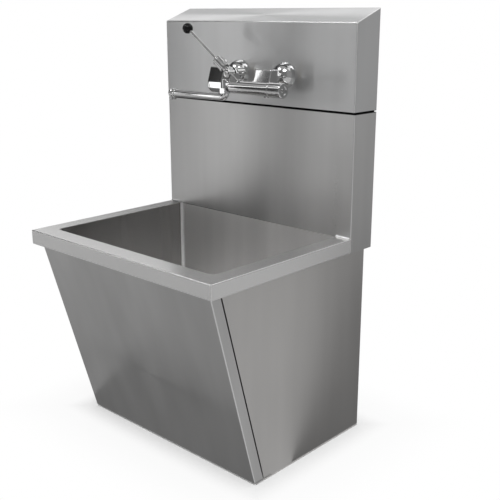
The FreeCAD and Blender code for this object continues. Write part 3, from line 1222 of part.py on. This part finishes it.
def build():
    os.makedirs("parts", exist_ok=True)
    save("rim_deck", rim_deck())
    save("basin_bowl", basin_bowl())
    save("backsplash_panel", backsplash_panel())
    save("splash_hood", splash_hood())
    save("front_access_panel", front_access_panel())
    save("side_panel_right", side_panel_right())
    save("side_panel_left", mirrored(side_panel_right()))
    save("front_post_right", front_post_right())
    save("front_post_left", mirrored(front_post_right()))
    save("base_rear_rail", base_rear_rail())
    save("wall_hanger_upper", wall_hanger(HALF - SHEET, HANGER_UPPER_HEIGHT))
    save("wall_hanger_lower", wall_hanger(SKIRT_HALF - SHEET, HANGER_LOWER_HEIGHT))
    save("bowl_support_front", bowl_support(SUPPORT_LINES[0]))
    save("bowl_support_rear", bowl_support(SUPPORT_LINES[1]))
    save("support_pads", *support_pads())
    save("hood_clips", *[hood_clip(x) for x in (-CLIP_SPREAD, 0, CLIP_SPREAD)])
    save("panel_hooks", *[panel_hook(side * HOOK_SPACING / 2) for side in (-1, 1)])
    save("frame_screws", *frame_screws())

    save("strainer_body", strainer_body())
    save("strainer_basket", strainer_basket())
    save("strainer_gasket", drain_ring(LANDING_UNDER, GASKET, STRAINER_FLANGE, STRAINER_CUP + SLIP))
    save("friction_washer", drain_ring(GASKET_BOTTOM, FRICTION_WASHER, STRAINER_FLANGE, STRAINER_CUP + SLIP))
    save("strainer_locknut", strainer_locknut())
    save("tailpiece", tailpiece())
    save("slip_nuts", *slip_nuts())
    save("slip_washers", *slip_washers())
    save("trap_bend", trap_bend())
    save("trap_arm", trap_arm())

    for side, x in zip(("left", "right"), INLETS):
        save("wall_flange_" + side, wall_flange(x))
        save("inlet_nipple_" + side, inlet_nipple(x))
        save("union_nut_" + side, union_nut(x))
    save("nipple_locknuts", *[nipple_locknut(x) for x in INLETS])
    save("union_washers", *union_washers())
    save("stop_body_left", stop_body_left())
    save("stop_body_right", inlet_mirror(stop_body_left()))
    save("stop_stem_left", stop_stem_left())
    save("stop_stem_right", inlet_mirror(stop_stem_left()))
    save("body_union_nuts", *side_union_nuts())
    save("mixer_body", mixer_body())
    save("thermostatic_cartridge", thermostatic_cartridge())
    save("mixing_shuttle", mixing_shuttle())
    save("temperature_spindle", temperature_spindle())
    save("temperature_ring", temperature_ring())
    save("temperature_knob", temperature_knob())
    save("knob_screw", knob_screw())
    save("limit_screw", limit_screw())
    save("lever_cartridge", lever_cartridge())
    save("bonnet_nut", bonnet_nut())
    save("lever_spindle", lever_spindle())
    save("lever_hub", lever_hub())
    save("lever_fasteners", *lever_fasteners())
    save("lever_rod", lever_rod())
    save("ball_knob", ball_knob())
    save("spout_nut", spout_nut())
    save("spout_tube", spout_tube())
    save("spout_seals", *spout_seals())
    save("aerator", aerator())


build()
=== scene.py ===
# %% [markdown]
# # Dressing a stainless steel hand wash sink
# The cabinet, bowl, splash and faucet arrive as finished solids. This notebook gives each of them its
# metal, then adds a floor, light and a camera. The same sheet steel looks different where it was
# brushed, folded, welded or polished, so most of the work is in a few steel finishes.

# %% Load the frame
import json
import math

import bpy
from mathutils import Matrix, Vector

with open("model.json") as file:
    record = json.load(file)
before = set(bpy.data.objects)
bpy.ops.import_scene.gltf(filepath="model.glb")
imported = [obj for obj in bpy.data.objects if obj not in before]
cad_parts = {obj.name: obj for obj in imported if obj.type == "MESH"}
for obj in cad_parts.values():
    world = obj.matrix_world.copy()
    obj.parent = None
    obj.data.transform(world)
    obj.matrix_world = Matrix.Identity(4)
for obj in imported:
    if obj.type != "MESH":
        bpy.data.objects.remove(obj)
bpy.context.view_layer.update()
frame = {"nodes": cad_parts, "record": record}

# %% [markdown]
# ## Node materials written as sums
# A shader graph is a calculation. Wiring Math nodes by hand hides it, so a small class holds one
# socket and turns +, - and * into nodes. Every other node comes from one method, `node`, which sets
# the node's own choices first and its inputs after.


# %% One value on a node sheet
class Value:
    """One output socket of a material's graph, usable in Python arithmetic."""

    def __init__(self, graph, socket):
        self.graph = graph
        self.socket = socket

    def math(self, operation, first, second=None):
        inputs = {0: first} if second is None else {0: first, 1: second}
        return self.graph.node("ShaderNodeMath", {"operation": operation}, inputs)

    def __add__(self, other):
        return self.math("ADD", self, other)

    def __radd__(self, other):
        return self.math("ADD", other, self)

    def __sub__(self, other):
        return self.math("SUBTRACT", self, other)

    def __rsub__(self, other):
        return self.math("SUBTRACT", other, self)

    def __mul__(self, other):
        return self.math("MULTIPLY", self, other)

    def __rmul__(self, other):
        return self.math("MULTIPLY", other, self)

    def __abs__(self):
        return self.math("ABSOLUTE", self)

    def or_more(self, other):
        """The larger of two values."""
        return self.math("MAXIMUM", self, other)

    def limit(self, low, high):
        """0 below low, 1 above high, and a smooth step between them."""
        settings = {"interpolation_type": "SMOOTHSTEP"}
        inputs = {"Value": self, "From Min": low, "From Max": high}
        return self.graph.node("ShaderNodeMapRange", settings, inputs)


print("values can be added, subtracted and multiplied")

# %% [markdown]
# ## The sheet that the nodes stand on
# One class makes the nodes of a material or of the world. Besides `node` it has short names for what a
# metal needs again and again: a place on the metal, a noise, a mix of two colours, and a measure of how
# much the surface bends.

# %% A node sheet
MIX_FACTOR, MIX_FIRST, MIX_SECOND = 0, 6, 7  # inputs of the Mix node when it mixes colours
MIX_COLOR = 2  # and its output
BEND_STARTS, BEND_ENDS = 0.36, 0.47
NOISE_ROUGHNESS = 0.55


class Graph:
    """The node sheet of one material, or of the world."""

    def __init__(self, name, owner=None):
        self.owner = owner or bpy.data.materials.new(name)
        self.owner.use_nodes = True
        self.tree = self.owner.node_tree
        self.tree.nodes.clear()

    def node(self, kind, settings=None, inputs=None, output=0):
        made = self.tree.nodes.new(kind)
        for key, value in (settings or {}).items():
            setattr(made, key, value)
        for key, value in (inputs or {}).items():
            if isinstance(value, Value):
                self.tree.links.new(value.socket, made.inputs[key])
            else:
                made.inputs[key].default_value = value
        return Value(self, made.outputs[output]) if len(made.outputs) else None

    def place(self, scale=(1, 1, 1)):
        """Coordinates fixed to the metal, in metres, stretched by a scale."""
        coordinates = self.node("ShaderNodeTexCoord", output="Object")
        return self.node("ShaderNodeMapping", {}, {"Vector": coordinates, "Scale": scale})

    def parts(self, vector):
        """The x, y and z values of a vector."""
        made = self.node("ShaderNodeSeparateXYZ", {}, {"Vector": vector})
        sockets = made.socket.node.outputs
        return [Value(self, sockets[axis]) for axis in range(3)]

    def facing(self):
        """How much the surface looks along x, along y and along z, each from 0 to 1."""
        normal = self.node("ShaderNodeNewGeometry", output="Normal")
        return [abs(part) for part in self.parts(normal)]

    def bend(self):
        """How far the surface turns from one flat face to the next: 0 on a flat sheet, 1 in a fold."""
        side, front, level = self.facing()
        return (level * side + level * front + side * front).limit(BEND_STARTS, BEND_ENDS)

    def noise(self, scale, detail=2.0, stretch=(1, 1, 1)):
        inputs = {"Vector": self.place(stretch), "Scale": scale, "Detail": detail,
                  "Roughness": NOISE_ROUGHNESS}
        return self.node("ShaderNodeTexNoise", {}, inputs)

    def mix(self, factor, first, second):
        inputs = {MIX_FACTOR: factor, MIX_FIRST: first, MIX_SECOND: second}
        return self.node("ShaderNodeMix", {"data_type": "RGBA"}, inputs, output=MIX_COLOR)

    def bump(self, height, strength, distance):
        """A normal roughened by a height, which is a distance in metres deep at full strength."""
        inputs = {"Strength": strength, "Distance": distance, "Height": height}
        return self.node("ShaderNodeBump", {}, inputs)

    def surface(self, color, roughness, metallic=1.0, **more):
        sockets = {"Base Color": color, "Metallic": metallic, "Roughness": roughness}
        sockets.update(more)
        return self.node("ShaderNodeBsdfPrincipled", {}, sockets)

    def finish(self, shader, output="ShaderNodeOutputMaterial"):
        self.node(output, {}, {0: shader})
        return self.owner


def grey(level, warmth=0.0):
    """A grey, tinted a little towards red by its warmth, or towards blue if that is negative."""
    return (level * (1 + warmth), level, level * (1 - warmth), 1.0)


print("node sheet ready")

# %% [markdown]
# ## Where the painted seam shade lies
# A black line parts the splash from the hood: the shadow in the open gap between them. The shadow is
# painted into the steel, a painted shade that laps a little on to both sheets: the splash is blackened
# from its top edge upwards, with the tongue that stands behind the joint, and the hood along its foot.
# The height is measured on the sheets.

# %% Measure the joint
SEAM = 0.004  # open gap between the splash and the hood
SPLASH_LAP, HOOD_LAP = 0.0012, 0.001  # how far the painted seam shade laps on to each sheet
SEAM_SHADE_FADE = 0.0006  # the painted seam shade fades out over this height
PAST_TONGUE = 0.001


def corners(node):
    """The corners of a solid's mesh, in metres."""
    solid = frame["nodes"][node]
    return [solid.matrix_world @ corner.co for corner in solid.data.vertices]


hood_foot = min(corner.z for corner in corners("splash_hood"))
tongue_top = max(corner.z for corner in corners("backsplash_panel"))
joint_low = hood_foot - SEAM - SPLASH_LAP
splash_joint = (joint_low, tongue_top + PAST_TONGUE)
hood_joint = (joint_low, hood_foot + HOOD_LAP)
print("the hood's foot is %.4f m high, the tongue's top %.4f m" % (hood_foot, tongue_top))

# %% [markdown]
# ## Brushed sheet steel
# Brushing leaves thousands of fine parallel scratches. A picture of scratches could be wrapped round
# the sheet, but it would show seams and repeats, so here the grain is a noise that is stretched along
# one direction. It drives a little colour, a little roughness and a shallow bump. A second, broad noise
# keeps a big panel from looking printed, and a third gives the tall soft bands of a polishing belt.
# Folds and welds are painted a shade lighter, a painted highlight along each bend.

# %% How a steel sheet is made
FINE_SCALE, FINE_DETAIL, BROAD_SCALE = 60.0, 3.0, 2.6
BELT_STRETCH = (9.0, 9.0, 0.9)  # narrow sideways and tall upwards
FINE_TONE, BROAD_TONE = 0.04, 0.10
FINE_ROUGHNESS, BELT_ROUGHNESS, FOLD_ROUGHNESS = 0.05, 0.3, 0.10
TONE_SPREAD = 0.20  # share by which the darkest and the lightest steel leave the middle
GRAIN_STRENGTH, GRAIN_DEPTH = 0.008, 0.0004
# painted highlight: the lighter grey painted along folds and welds
FOLD_HIGHLIGHT = grey(0.92)
SIDEWAYS_STARTS, SIDEWAYS_ENDS, SIDEWAYS_GLOSS = 0.6, 0.9, 0.26
# painted shade: a near-black colour in the seam's gap, standing in for its shadow, and its roughness
SEAM_SHADE, SEAM_SHADE_ROUGHNESS = grey(0.012), 0.3
LEVEL_GRAIN = 0.25  # a quarter of a turn


def paint_seam_shade(g, color, rough, joint):
    """Paint a span of heights near black, a painted shade for the shadow in the seam's gap."""
    low, high = joint
    height = g.parts(g.place())[2]
    # painted shade mask over the heights of the seam's gap
    seam_shade_mask = height.limit(low - SEAM_SHADE_FADE, low) * (1 - height.limit(high, high + SEAM_SHADE_FADE))
    return g.mix(seam_shade_mask, color, SEAM_SHADE), rough + seam_shade_mask * SEAM_SHADE_ROUGHNESS


def brushed_steel(name, level, grain, roughness, stretch=0.0, sweep=0.0, painted_side_shade=None, joint=None,
                  warmth=0.005):
    """Sheet steel. The stretch smears its reflections up and down, across a level grain. The sweep
    is the strength of the belt's bands. The side shade is how bright the faces that look left or right
    are, as a share of the level: a painted shade where it is below 1, and those faces are glossier too.
    The joint is a span of heights that is painted near black, a painted shade for the shadow in the
    seam's gap."""
    g = Graph(name)
    fine = g.noise(FINE_SCALE, FINE_DETAIL, grain)
    fold = g.bend()
    tone = (fine - 0.5) * FINE_TONE + (g.noise(BROAD_SCALE) - 0.5) * BROAD_TONE
    rough = roughness + (fine - 0.5) * FINE_ROUGHNESS + fold * FOLD_ROUGHNESS
    if sweep:
        band = (g.noise(1.0, stretch=BELT_STRETCH) - 0.5) * sweep
        tone = tone + band
        rough = rough + band * BELT_ROUGHNESS
    darkest = grey(level * (1 - TONE_SPREAD), warmth)
    lightest = grey(level * (1 + TONE_SPREAD), warmth)
    sheet = g.mix(tone * 2.0 + 0.5, darkest, lightest)
    if painted_side_shade:
        # painted shade: faces that look left or right take a darker grey, and a lower roughness
        sideways = g.facing()[0].limit(SIDEWAYS_STARTS, SIDEWAYS_ENDS)
        sheet = g.mix(sideways, sheet, grey(level * painted_side_shade, warmth))
        rough = rough - sideways * SIDEWAYS_GLOSS
    # painted highlight along the folds
    color = g.mix(fold, sheet, FOLD_HIGHLIGHT)
    # painted shade: the seam's heights are painted near black in place of the gap's shadow
    if joint:
        color, rough = paint_seam_shade(g, color, rough, joint)
    more = {"Anisotropic": stretch, "Anisotropic Rotation": LEVEL_GRAIN}
    more["Normal"] = g.bump(fine, GRAIN_STRENGTH, GRAIN_DEPTH)
    return g.finish(g.surface(color, rough, **more))


print("steel sheets can be made")

# %% [markdown]
# ## One finish for each sheet
# On the real sink each panel was brushed and folded from its own sheet, so the panels differ in
# brightness and gloss. One shared material would be simpler, but then the sink would look cast in one
# piece. The deck and the bowl are lighter than the other sheets, as painted light: the deck to look lit
# from above, the bowl to make up for the shade inside it. The bowl's long walls are the roughest, and
# its end walls are painted darker, a painted shade, and are glossier.

# %% Steel in several sheets
along_x = (0.6, 40.0, 40.0)
along_z = (40.0, 40.0, 0.6)
finishes = {
    # painted light: the deck is a lighter grey than the other sheets, so it looks lit from above
    "deck_steel": brushed_steel("deck_steel", 0.74, along_x, 0.26),
    # painted light: the bowl is lighter still, to make up for the shade inside it; its end walls get a
    # painted shade
    "bowl_steel": brushed_steel("bowl_steel", 0.85, along_x, 0.52, sweep=0.4, painted_side_shade=0.42,
                                warmth=0.010),
    "splash_steel": brushed_steel("splash_steel", 0.58, along_x, 0.30, 0.85, 0.45,
                                  joint=splash_joint),
    "hood_steel": brushed_steel("hood_steel", 0.60, along_x, 0.30, 0.85, 0.35, joint=hood_joint,
                                warmth=-0.003),
    "panel_steel": brushed_steel("panel_steel", 0.55, along_x, 0.34, 0.6, 0.4),
    "skin_steel": brushed_steel("skin_steel", 0.57, along_x, 0.30, 0.6, 0.3, warmth=0.018),
    "frame_steel": brushed_steel("frame_steel", 0.46, along_x, 0.42),
    "screw_steel": brushed_steel("screw_steel", 0.55, along_z, 0.25),
}
print("steel finishes:", sorted(finishes))

# %% [markdown]
# ## Chrome and polished steel
# The faucet is bright chrome. Chrome has almost no texture of its own: what makes it is a very low
# roughness with a faint waviness from hand polishing. A perfect mirror would be easier, but real chrome
# is smeared a little where hands touch it.

# %% Chrome
RIPPLE_SCALE, RIPPLE_DEPTH = 45.0, 0.002
SMEAR_SCALE, SMEAR_ROUGHNESS, SMEAR_LEVEL = 14.0, 0.05, 0.95


def bright_metal(name, level, roughness, wave=0.02, warmth=0.0):
    g = Graph(name)
    ripple = g.noise(RIPPLE_SCALE)
    smear = g.noise(SMEAR_SCALE, 3.0)
    color = g.mix(smear, grey(level * SMEAR_LEVEL, warmth), grey(level, warmth))
    rough = roughness + (smear - 0.5) * SMEAR_ROUGHNESS
    return g.finish(g.surface(color, rough, Normal=g.bump(ripple, wave, RIPPLE_DEPTH)))


finishes["faucet_chrome"] = bright_metal("faucet_chrome", 0.72, 0.045)
finishes["waste_chrome"] = bright_metal("waste_chrome", 0.74, 0.10)
finishes["polished_steel"] = bright_metal("polished_steel", 0.66, 0.16, 0.01, 0.004)
print("bright finishes ready")

# %% [markdown]
# ## Turned brass
# Plain brass fittings are turned on a lathe. The tool leaves fine rings and the metal stains in
# blotches. Rings could be cut into the mesh, but they are far finer than its faces, so a wave of bands
# in the bump does it.

# %% Brass
STAINED_BRASS, CLEAN_BRASS = (0.42, 0.29, 0.11, 1), (0.66, 0.50, 0.24, 1)
RING_SCALE, RING_STRENGTH, RING_DEPTH = 180.0, 0.1, 0.0005


def turned_brass(name):
    g = Graph(name)
    inputs = {"Vector": g.place(), "Scale": RING_SCALE, "Distortion": 1.0}
    rings = g.node("ShaderNodeTexWave", {"wave_type": "BANDS"}, inputs)
    stain = g.noise(30.0, 3.0)
    color = g.mix(stain, STAINED_BRASS, CLEAN_BRASS)
    lathe_marks = g.bump(rings, RING_STRENGTH, RING_DEPTH)
    return g.finish(g.surface(color, 0.26 + stain * 0.14, Normal=lathe_marks))


finishes["pipe_brass"] = turned_brass("pipe_brass")
finishes["stem_brass"] = turned_brass("stem_brass")
print("brass ready")

# %% [markdown]
# ## Rubber, fibre and plastic
# Hidden pieces still get an honest finish. Rubber is matt with dust in its pores, fibre washers are
# rough and brown, and a cartridge is pale moulded plastic. They could be flat colours, but a fine grain
# between two colours keeps them from looking painted, and it suits all three. The lever's ball is hard
# black plastic, smooth enough to mirror the softboxes, so it is made apart.

# %% Moulded pieces
PORE_ROUGHNESS, PORE_DEPTH = 0.12, 0.0006


def moulded(name, low, high, roughness, grain_scale, bump_strength=0.08):
    g = Graph(name)
    grain = g.noise(grain_scale, 3.0)
    rough = roughness + (grain - 0.5) * PORE_ROUGHNESS
    pores = g.bump(grain, bump_strength, PORE_DEPTH)
    return g.finish(g.surface(g.mix(grain, low, high), rough, 0.0, Normal=pores))


def black_ball(name):
    g = Graph(name)
    flow = g.noise(40.0)
    color = g.mix(flow, (0.003, 0.003, 0.003, 1), (0.007, 0.007, 0.008, 1))
    return g.finish(g.surface(color, 0.07 + flow * 0.05, 0.0, **{"Specular IOR Level": 0.25}))


finishes["cartridge_plastic"] = moulded(
    "cartridge_plastic", (0.55, 0.55, 0.52, 1), (0.68, 0.68, 0.65, 1), 0.45, 90)
finishes["ball_plastic"] = black_ball("ball_plastic")
finishes["black_rubber"] = moulded(
    "black_rubber", (0.016, 0.016, 0.016, 1), (0.045, 0.044, 0.042, 1), 0.72, 240, 0.25)
finishes["grey_fibre"] = moulded(
    "grey_fibre", (0.20, 0.18, 0.15, 1), (0.34, 0.31, 0.27, 1), 0.8, 320, 0.35)
print(len(finishes), "finishes in all")

# %% [markdown]
# ## Dress every solid
# Each piece could be named here with its metal, but the record already names a material slot for each
# node, so one loop hands out the finishes. Nothing is moved or reshaped.

# %% Hand out the finishes
slots = {part["node"]: part["material_slot"] for part in frame["record"]["subparts"]}
for name, solid in frame["nodes"].items():
    solid.data.materials.clear()
    solid.data.materials.append(finishes[slots[name]])
print("dressed", len(slots), "nodes")

# %% [markdown]
# ## Where the cabinet stands
# The floor is darker at the cabinet's foot, partly its real shadow and partly a painted shade, so the
# foot's outline is needed. It could be typed in, but then it would be wrong as soon as the sink
# changed.
# It is measured on the sheets that stand on the floor, in whole millimetres.

# %% Measure the foot
STANDING = 0.002  # corners below this height stand on the floor
standing_sheets = ("front_access_panel", "side_panel_left", "side_panel_right")
foot = [corner for sheet in standing_sheets for corner in corners(sheet) if corner.z < STANDING]
front_edge = min(corner.y for corner in foot)
back_edge = max(corner.y for corner in foot)
half_width = round(max(corner.x for corner in foot), 3)
half_depth = round((back_edge - front_edge) / 2, 3)
middle = round((front_edge + back_edge) / 2, 3)
print("the foot is %.3f m wide and %.3f m deep" % (2 * half_width, 2 * half_depth))

# %% [markdown]
# ## Floor
# The photograph has a plain white ground with a soft dark edge where the cabinet stands. A white sheet
# behind the sink would be simpler, but nothing would shade it. So the floor is an ordinary matt white
# that also glows for rays that come from the camera, and reads as white without more light on the sink.
# Near the foot the glow gives way to the matt floor, which keeps the shadow. The glow falls off by
# distance from the foot, so the floor there is darker even where no shadow falls: a painted shade round
# the cabinet on top of its real shadow.

# %% White floor
GLOW_UNDER = 0.15  # share of glow under the cabinet
# where each rise of that share starts and ends, in metres outside the foot, and how much it adds
GLOW_RISES = ((-0.010, 0.0, 0.25), (-0.012, 0.09, 0.50), (0.07, 0.3, 0.10))
GLOW_MIRRORED = 0.10


def rays(g):
    """1 for rays that come straight from the camera, from a mirror, and through glass."""
    names = ("Is Camera Ray", "Is Glossy Ray", "Is Transmission Ray")
    return [g.node("ShaderNodeLightPath", output=name) for name in names]


def white_ground():
    g = Graph("white_ground")
    seen, mirrored, through = rays(g)
    matt = g.surface(g.mix(g.noise(3.0), grey(0.84), grey(0.88)), 0.9, 0.0)
    glow = g.node("ShaderNodeEmission", {}, {"Color": grey(1.0), "Strength": 1.0})
    x, y = g.parts(g.place())[:2]
    # painted shade: the glow share falls towards the foot, darkening the floor round the cabinet on top
    # of its real shadow
    away = (abs(x) - half_width).or_more(abs(y - middle) - half_depth)
    white = GLOW_UNDER
    for starts, ends, gain in GLOW_RISES:
        white = white + away.limit(starts, ends) * gain
    share = (seen + through) * white + mirrored * GLOW_MIRRORED
    return g.finish(g.node("ShaderNodeMixShader", {}, {0: share, 1: matt, 2: glow}))


bpy.ops.mesh.primitive_plane_add(size=16, location=(0, 0, 0))
ground = bpy.context.object
ground.name = "ground"
ground.data.materials.append(white_ground())
print("floor laid")

# %% [markdown]
# ## World
# Around the floor is the white of the studio's walls. Walls could be built, but a white world does the
# same. It is white to the camera and in reflections, and softer where it acts as a lamp, so that the
# lamps still shape the sink.


# %% White world
def studio_world():
    g = Graph("studio", bpy.data.worlds.new("studio"))
    seen, mirrored, through = rays(g)
    soft = g.node("ShaderNodeBackground", {}, {"Color": grey(1.0), "Strength": 0.55})
    white = g.node("ShaderNodeBackground", {}, {"Color": grey(1.0), "Strength": 1.0})
    share = seen + mirrored + through
    return g.finish(g.node("ShaderNodeMixShader", {}, {0: share, 1: soft, 2: white}),
                    "ShaderNodeOutputWorld")


bpy.context.scene.world = studio_world()
print("world ready")

# %% [markdown]
# ## Lamps
# Two large soft lamps light the sink: one from the front right, and one from above. They are hidden
# from mirrors, because a round lamp in the chrome would look like a window. What the metal reflects
# comes from the cards that follow.


# %% Lamps
def soft_lamp(name, place, aim, size, power):
    light = bpy.data.lights.new(name, "AREA")
    light.shape = "DISK"
    light.size = size
    light.energy = power
    lamp = bpy.data.objects.new(name, light)
    bpy.context.scene.collection.objects.link(lamp)
    lamp.location = place
    lamp.visible_glossy = False
    lamp.rotation_euler = (Vector(aim) - Vector(place)).to_track_quat("-Z", "Y").to_euler()


soft_lamp("key", (2.3, -1.3, 2.7), (0, 0, 0.7), 1.7, 34)
soft_lamp("overhead", (0.2, -0.4, 3.1), (0, 0, 0.6), 2.4, 30)
print("lamps set")

# %% [markdown]
# ## Cards
# Steel shows what stands around it. A photographer sets dark and light cards round a sink, out of the
# picture, and these are the same: only reflections see them. A whole room could be modelled instead,
# but cards are quick to move until each panel shows the band of light that it should.

# %% How a card is made
LEFT_X, RIGHT_X = -4.0, 3.5
FRONT_Y, BACK_Y = -2.6, 3.0
CEILING_Z = 4.0
FLOOR_LIFT, LAYER = 0.004, 0.0005  # floor cards that overlap lie in layers
CARD_SPREAD = 0.2


def card(name, outline, level):
    """A glowing sheet that only reflections see."""
    mesh = bpy.data.meshes.new(name)
    mesh.from_pydata(outline, [], [tuple(range(len(outline)))])
    g = Graph(name + "_card")
    darkest, lightest = grey(level * (1 - CARD_SPREAD)), grey(level * (1 + CARD_SPREAD))
    inputs = {"Color": g.mix(g.noise(1.2, 1.0), darkest, lightest), "Strength": 1.0}
    mesh.materials.append(g.finish(g.node("ShaderNodeEmission", {}, inputs)))
    shape = bpy.data.objects.new(name, mesh)
    bpy.context.scene.collection.objects.link(shape)
    shape.visible_camera = False
    shape.visible_diffuse = False
    shape.visible_shadow = False
    shape.visible_transmission = False


def upright_card(name, y, x0, x1, z0, z1, level):
    """Card that faces the sink from the front or from behind."""
    card(name, [(x0, y, z0), (x1, y, z0), (x1, y, z1), (x0, y, z1)], level)


def wall_card(name, x, y0, y1, z0, z1, level):
    """Card that faces the sink from the left or from the right."""
    card(name, [(x, y0, z0), (x, y1, z0), (x, y1, z1), (x, y0, z1)], level)


def level_card(name, x0, x1, y0, y1, z, level):
    """Card that lies level."""
    card(name, [(x0, y0, z), (x1, y0, z), (x1, y1, z), (x0, y1, z)], level)


def floor_card(name, x0, x1, y0, y1, level, layer=0):
    """Card that lies just above the floor."""
    level_card(name, x0, x1, y0, y1, FLOOR_LIFT + layer * LAYER, level)


print("cards can be made")

# %% [markdown]
# ## The cards in front
# The hood and the splash mirror the space to the front left. One grey card would leave them flat, so
# bright strips stand between dark ones and give them their soft upright bands. A dark horizon between
# the low and the high strips gives the chrome its black line.

# %% Cards in front and to the left
STRIP_TOP = 2.0
HORIZON_LOW, HORIZON_HIGH = 0.84, 1.16
STRIPS_END = -1.0
GLOW_LEFT, GLOW_RIGHT = -3.06, -2.72
upright_card("upper_flag", FRONT_Y, LEFT_X, GLOW_LEFT, STRIP_TOP, CEILING_Z, 0.03)
upright_card("upper_glow", FRONT_Y, GLOW_LEFT, GLOW_RIGHT, STRIP_TOP, CEILING_Z, 1.7)
upright_card("upper_flag_grey", FRONT_Y, GLOW_RIGHT, STRIPS_END, STRIP_TOP, CEILING_Z, 0.12)
wall_card("side_flag", LEFT_X, FRONT_Y, 1.0, 0.3, CEILING_Z, 0.05)
# each strip: left edge, right edge, brightness below the horizon, brightness above it
strips = {
    "far": (LEFT_X, -3.3, 0.42, 0.64),
    "bright_far": (-3.3, -3.05, 1.30, 2.00),
    "between": (-3.05, -2.85, 0.38, 0.44),
    "bright_between": (-2.85, -2.62, 2.05, 2.20),
    "middle": (-2.62, -2.05, 0.20, 0.05),
    "bright_right": (-2.05, -1.9, 1.6, 1.8),
    "end": (-1.9, STRIPS_END, 0.62, 0.65),
}
for name, (left, right, low_level, high_level) in strips.items():
    upright_card(name + "_low", FRONT_Y, left, right, 0.0, HORIZON_LOW, low_level)
    upright_card(name + "_high", FRONT_Y, left, right, HORIZON_HIGH, STRIP_TOP, high_level)
upright_card("horizon", FRONT_Y, LEFT_X, STRIPS_END, HORIZON_LOW, HORIZON_HIGH, 0.03)
upright_card("front_right", FRONT_Y, STRIPS_END, RIGHT_X, 0.0, CEILING_Z, 0.20)
print(len(strips), "strips in front")

# %% [markdown]
# ## The other cards
# Softboxes overhead put the white spots on the domes and on the ball. Lamps that mirrors see could do
# it too, but they would light the sink as well. Grey floor cards stop the skirt from mirroring a white
# floor, which would wash it out, and they are darker near its foot.

# %% Cards above, behind and on the floor
FRONT_CARDS_RIGHT, FRONT_CARDS_BACK = 0.36, -0.16  # where the floor cards in front of the sink end
FLAG_OUTLINE = ((0.325, -0.04), (1.92, 2.40), (0.325, 2.6))
FLAG_LAYER = 4
level_card("ceiling", LEFT_X, RIGHT_X, FRONT_Y, -0.2, CEILING_Z, 0.40)
level_card("ceiling_rear", LEFT_X, 1.2, -0.2, 1.3, CEILING_Z, 0.10)
upright_card("rim_flag", BACK_Y, -6.0, -3.1, 0.3, 2.05, 0.03)
floor_card("floor_left", -3.0, -0.42, FRONT_CARDS_BACK, 1.5, 0.15)
card("softbox_left", [(-2.5, -2.1, 3.7), (-1.2, -2.5, 3.7), (-0.9, -1.3, 3.7), (-2.2, -0.9, 3.7)],
     6.0)
card("softbox_right", [(0.6, -2.5, 3.3), (2.0, -2.5, 3.3), (2.0, -1.3, 3.7), (0.6, -1.3, 3.7)], 6.0)
level_card("lamp_core", -1.6, -1.3, -1.8, -1.5, 3.65, 14.0)
wall_card("right_wall", RIGHT_X, FRONT_Y, BACK_Y, 0.0, CEILING_Z, 0.30)
upright_card("back_grey", BACK_Y, 0.6, RIGHT_X, 0.0, 3.0, 0.42)
floor_card("floor_far", -3.0, FRONT_CARDS_RIGHT, -2.4, FRONT_CARDS_BACK, 0.48)
floor_card("floor_middle", -1.1, FRONT_CARDS_RIGHT, -0.95, FRONT_CARDS_BACK, 0.40, layer=2)
floor_card("floor_near", -0.40, FRONT_CARDS_RIGHT, -0.42, -0.08, 0.21, layer=4)
floor_card("floor_right", -0.62, FRONT_CARDS_RIGHT, -0.95, FRONT_CARDS_BACK, 0.37, layer=3)
floor_card("right_grey", 0.32, 3.0, -2.4, 2.9, 0.54)
card("right_flag", [(x, y, FLOOR_LIFT + FLAG_LAYER * LAYER) for x, y in FLAG_OUTLINE], 0.20)
print("cards set")

# %% [markdown]
# ## Camera
# The camera stands to the front right of the sink, about as high as its hood. It could be placed by
# eye, but then every edge would lean a little wrong. So its place, its direction and its focal length
# were worked out from the corners of the sink in the photograph.

# %% Camera
EYE_PLACE = (1.6980, -1.6132, 1.2523)
EYE_DIP = 0.2812  # radians below level
EYE_TURN = 0.7480  # radians to the left of straight ahead
lens = bpy.data.cameras.new("camera")
lens.sensor_width = 36.0
lens.lens = 58.78
eye = bpy.data.objects.new("camera", lens)
bpy.context.scene.collection.objects.link(eye)
eye.location = EYE_PLACE
eye.rotation_euler = (math.pi / 2 - EYE_DIP, 0.0, EYE_TURN)
bpy.context.scene.camera = eye
bpy.context.scene.view_settings.view_transform = "Standard"
print("camera at", tuple(eye.location))
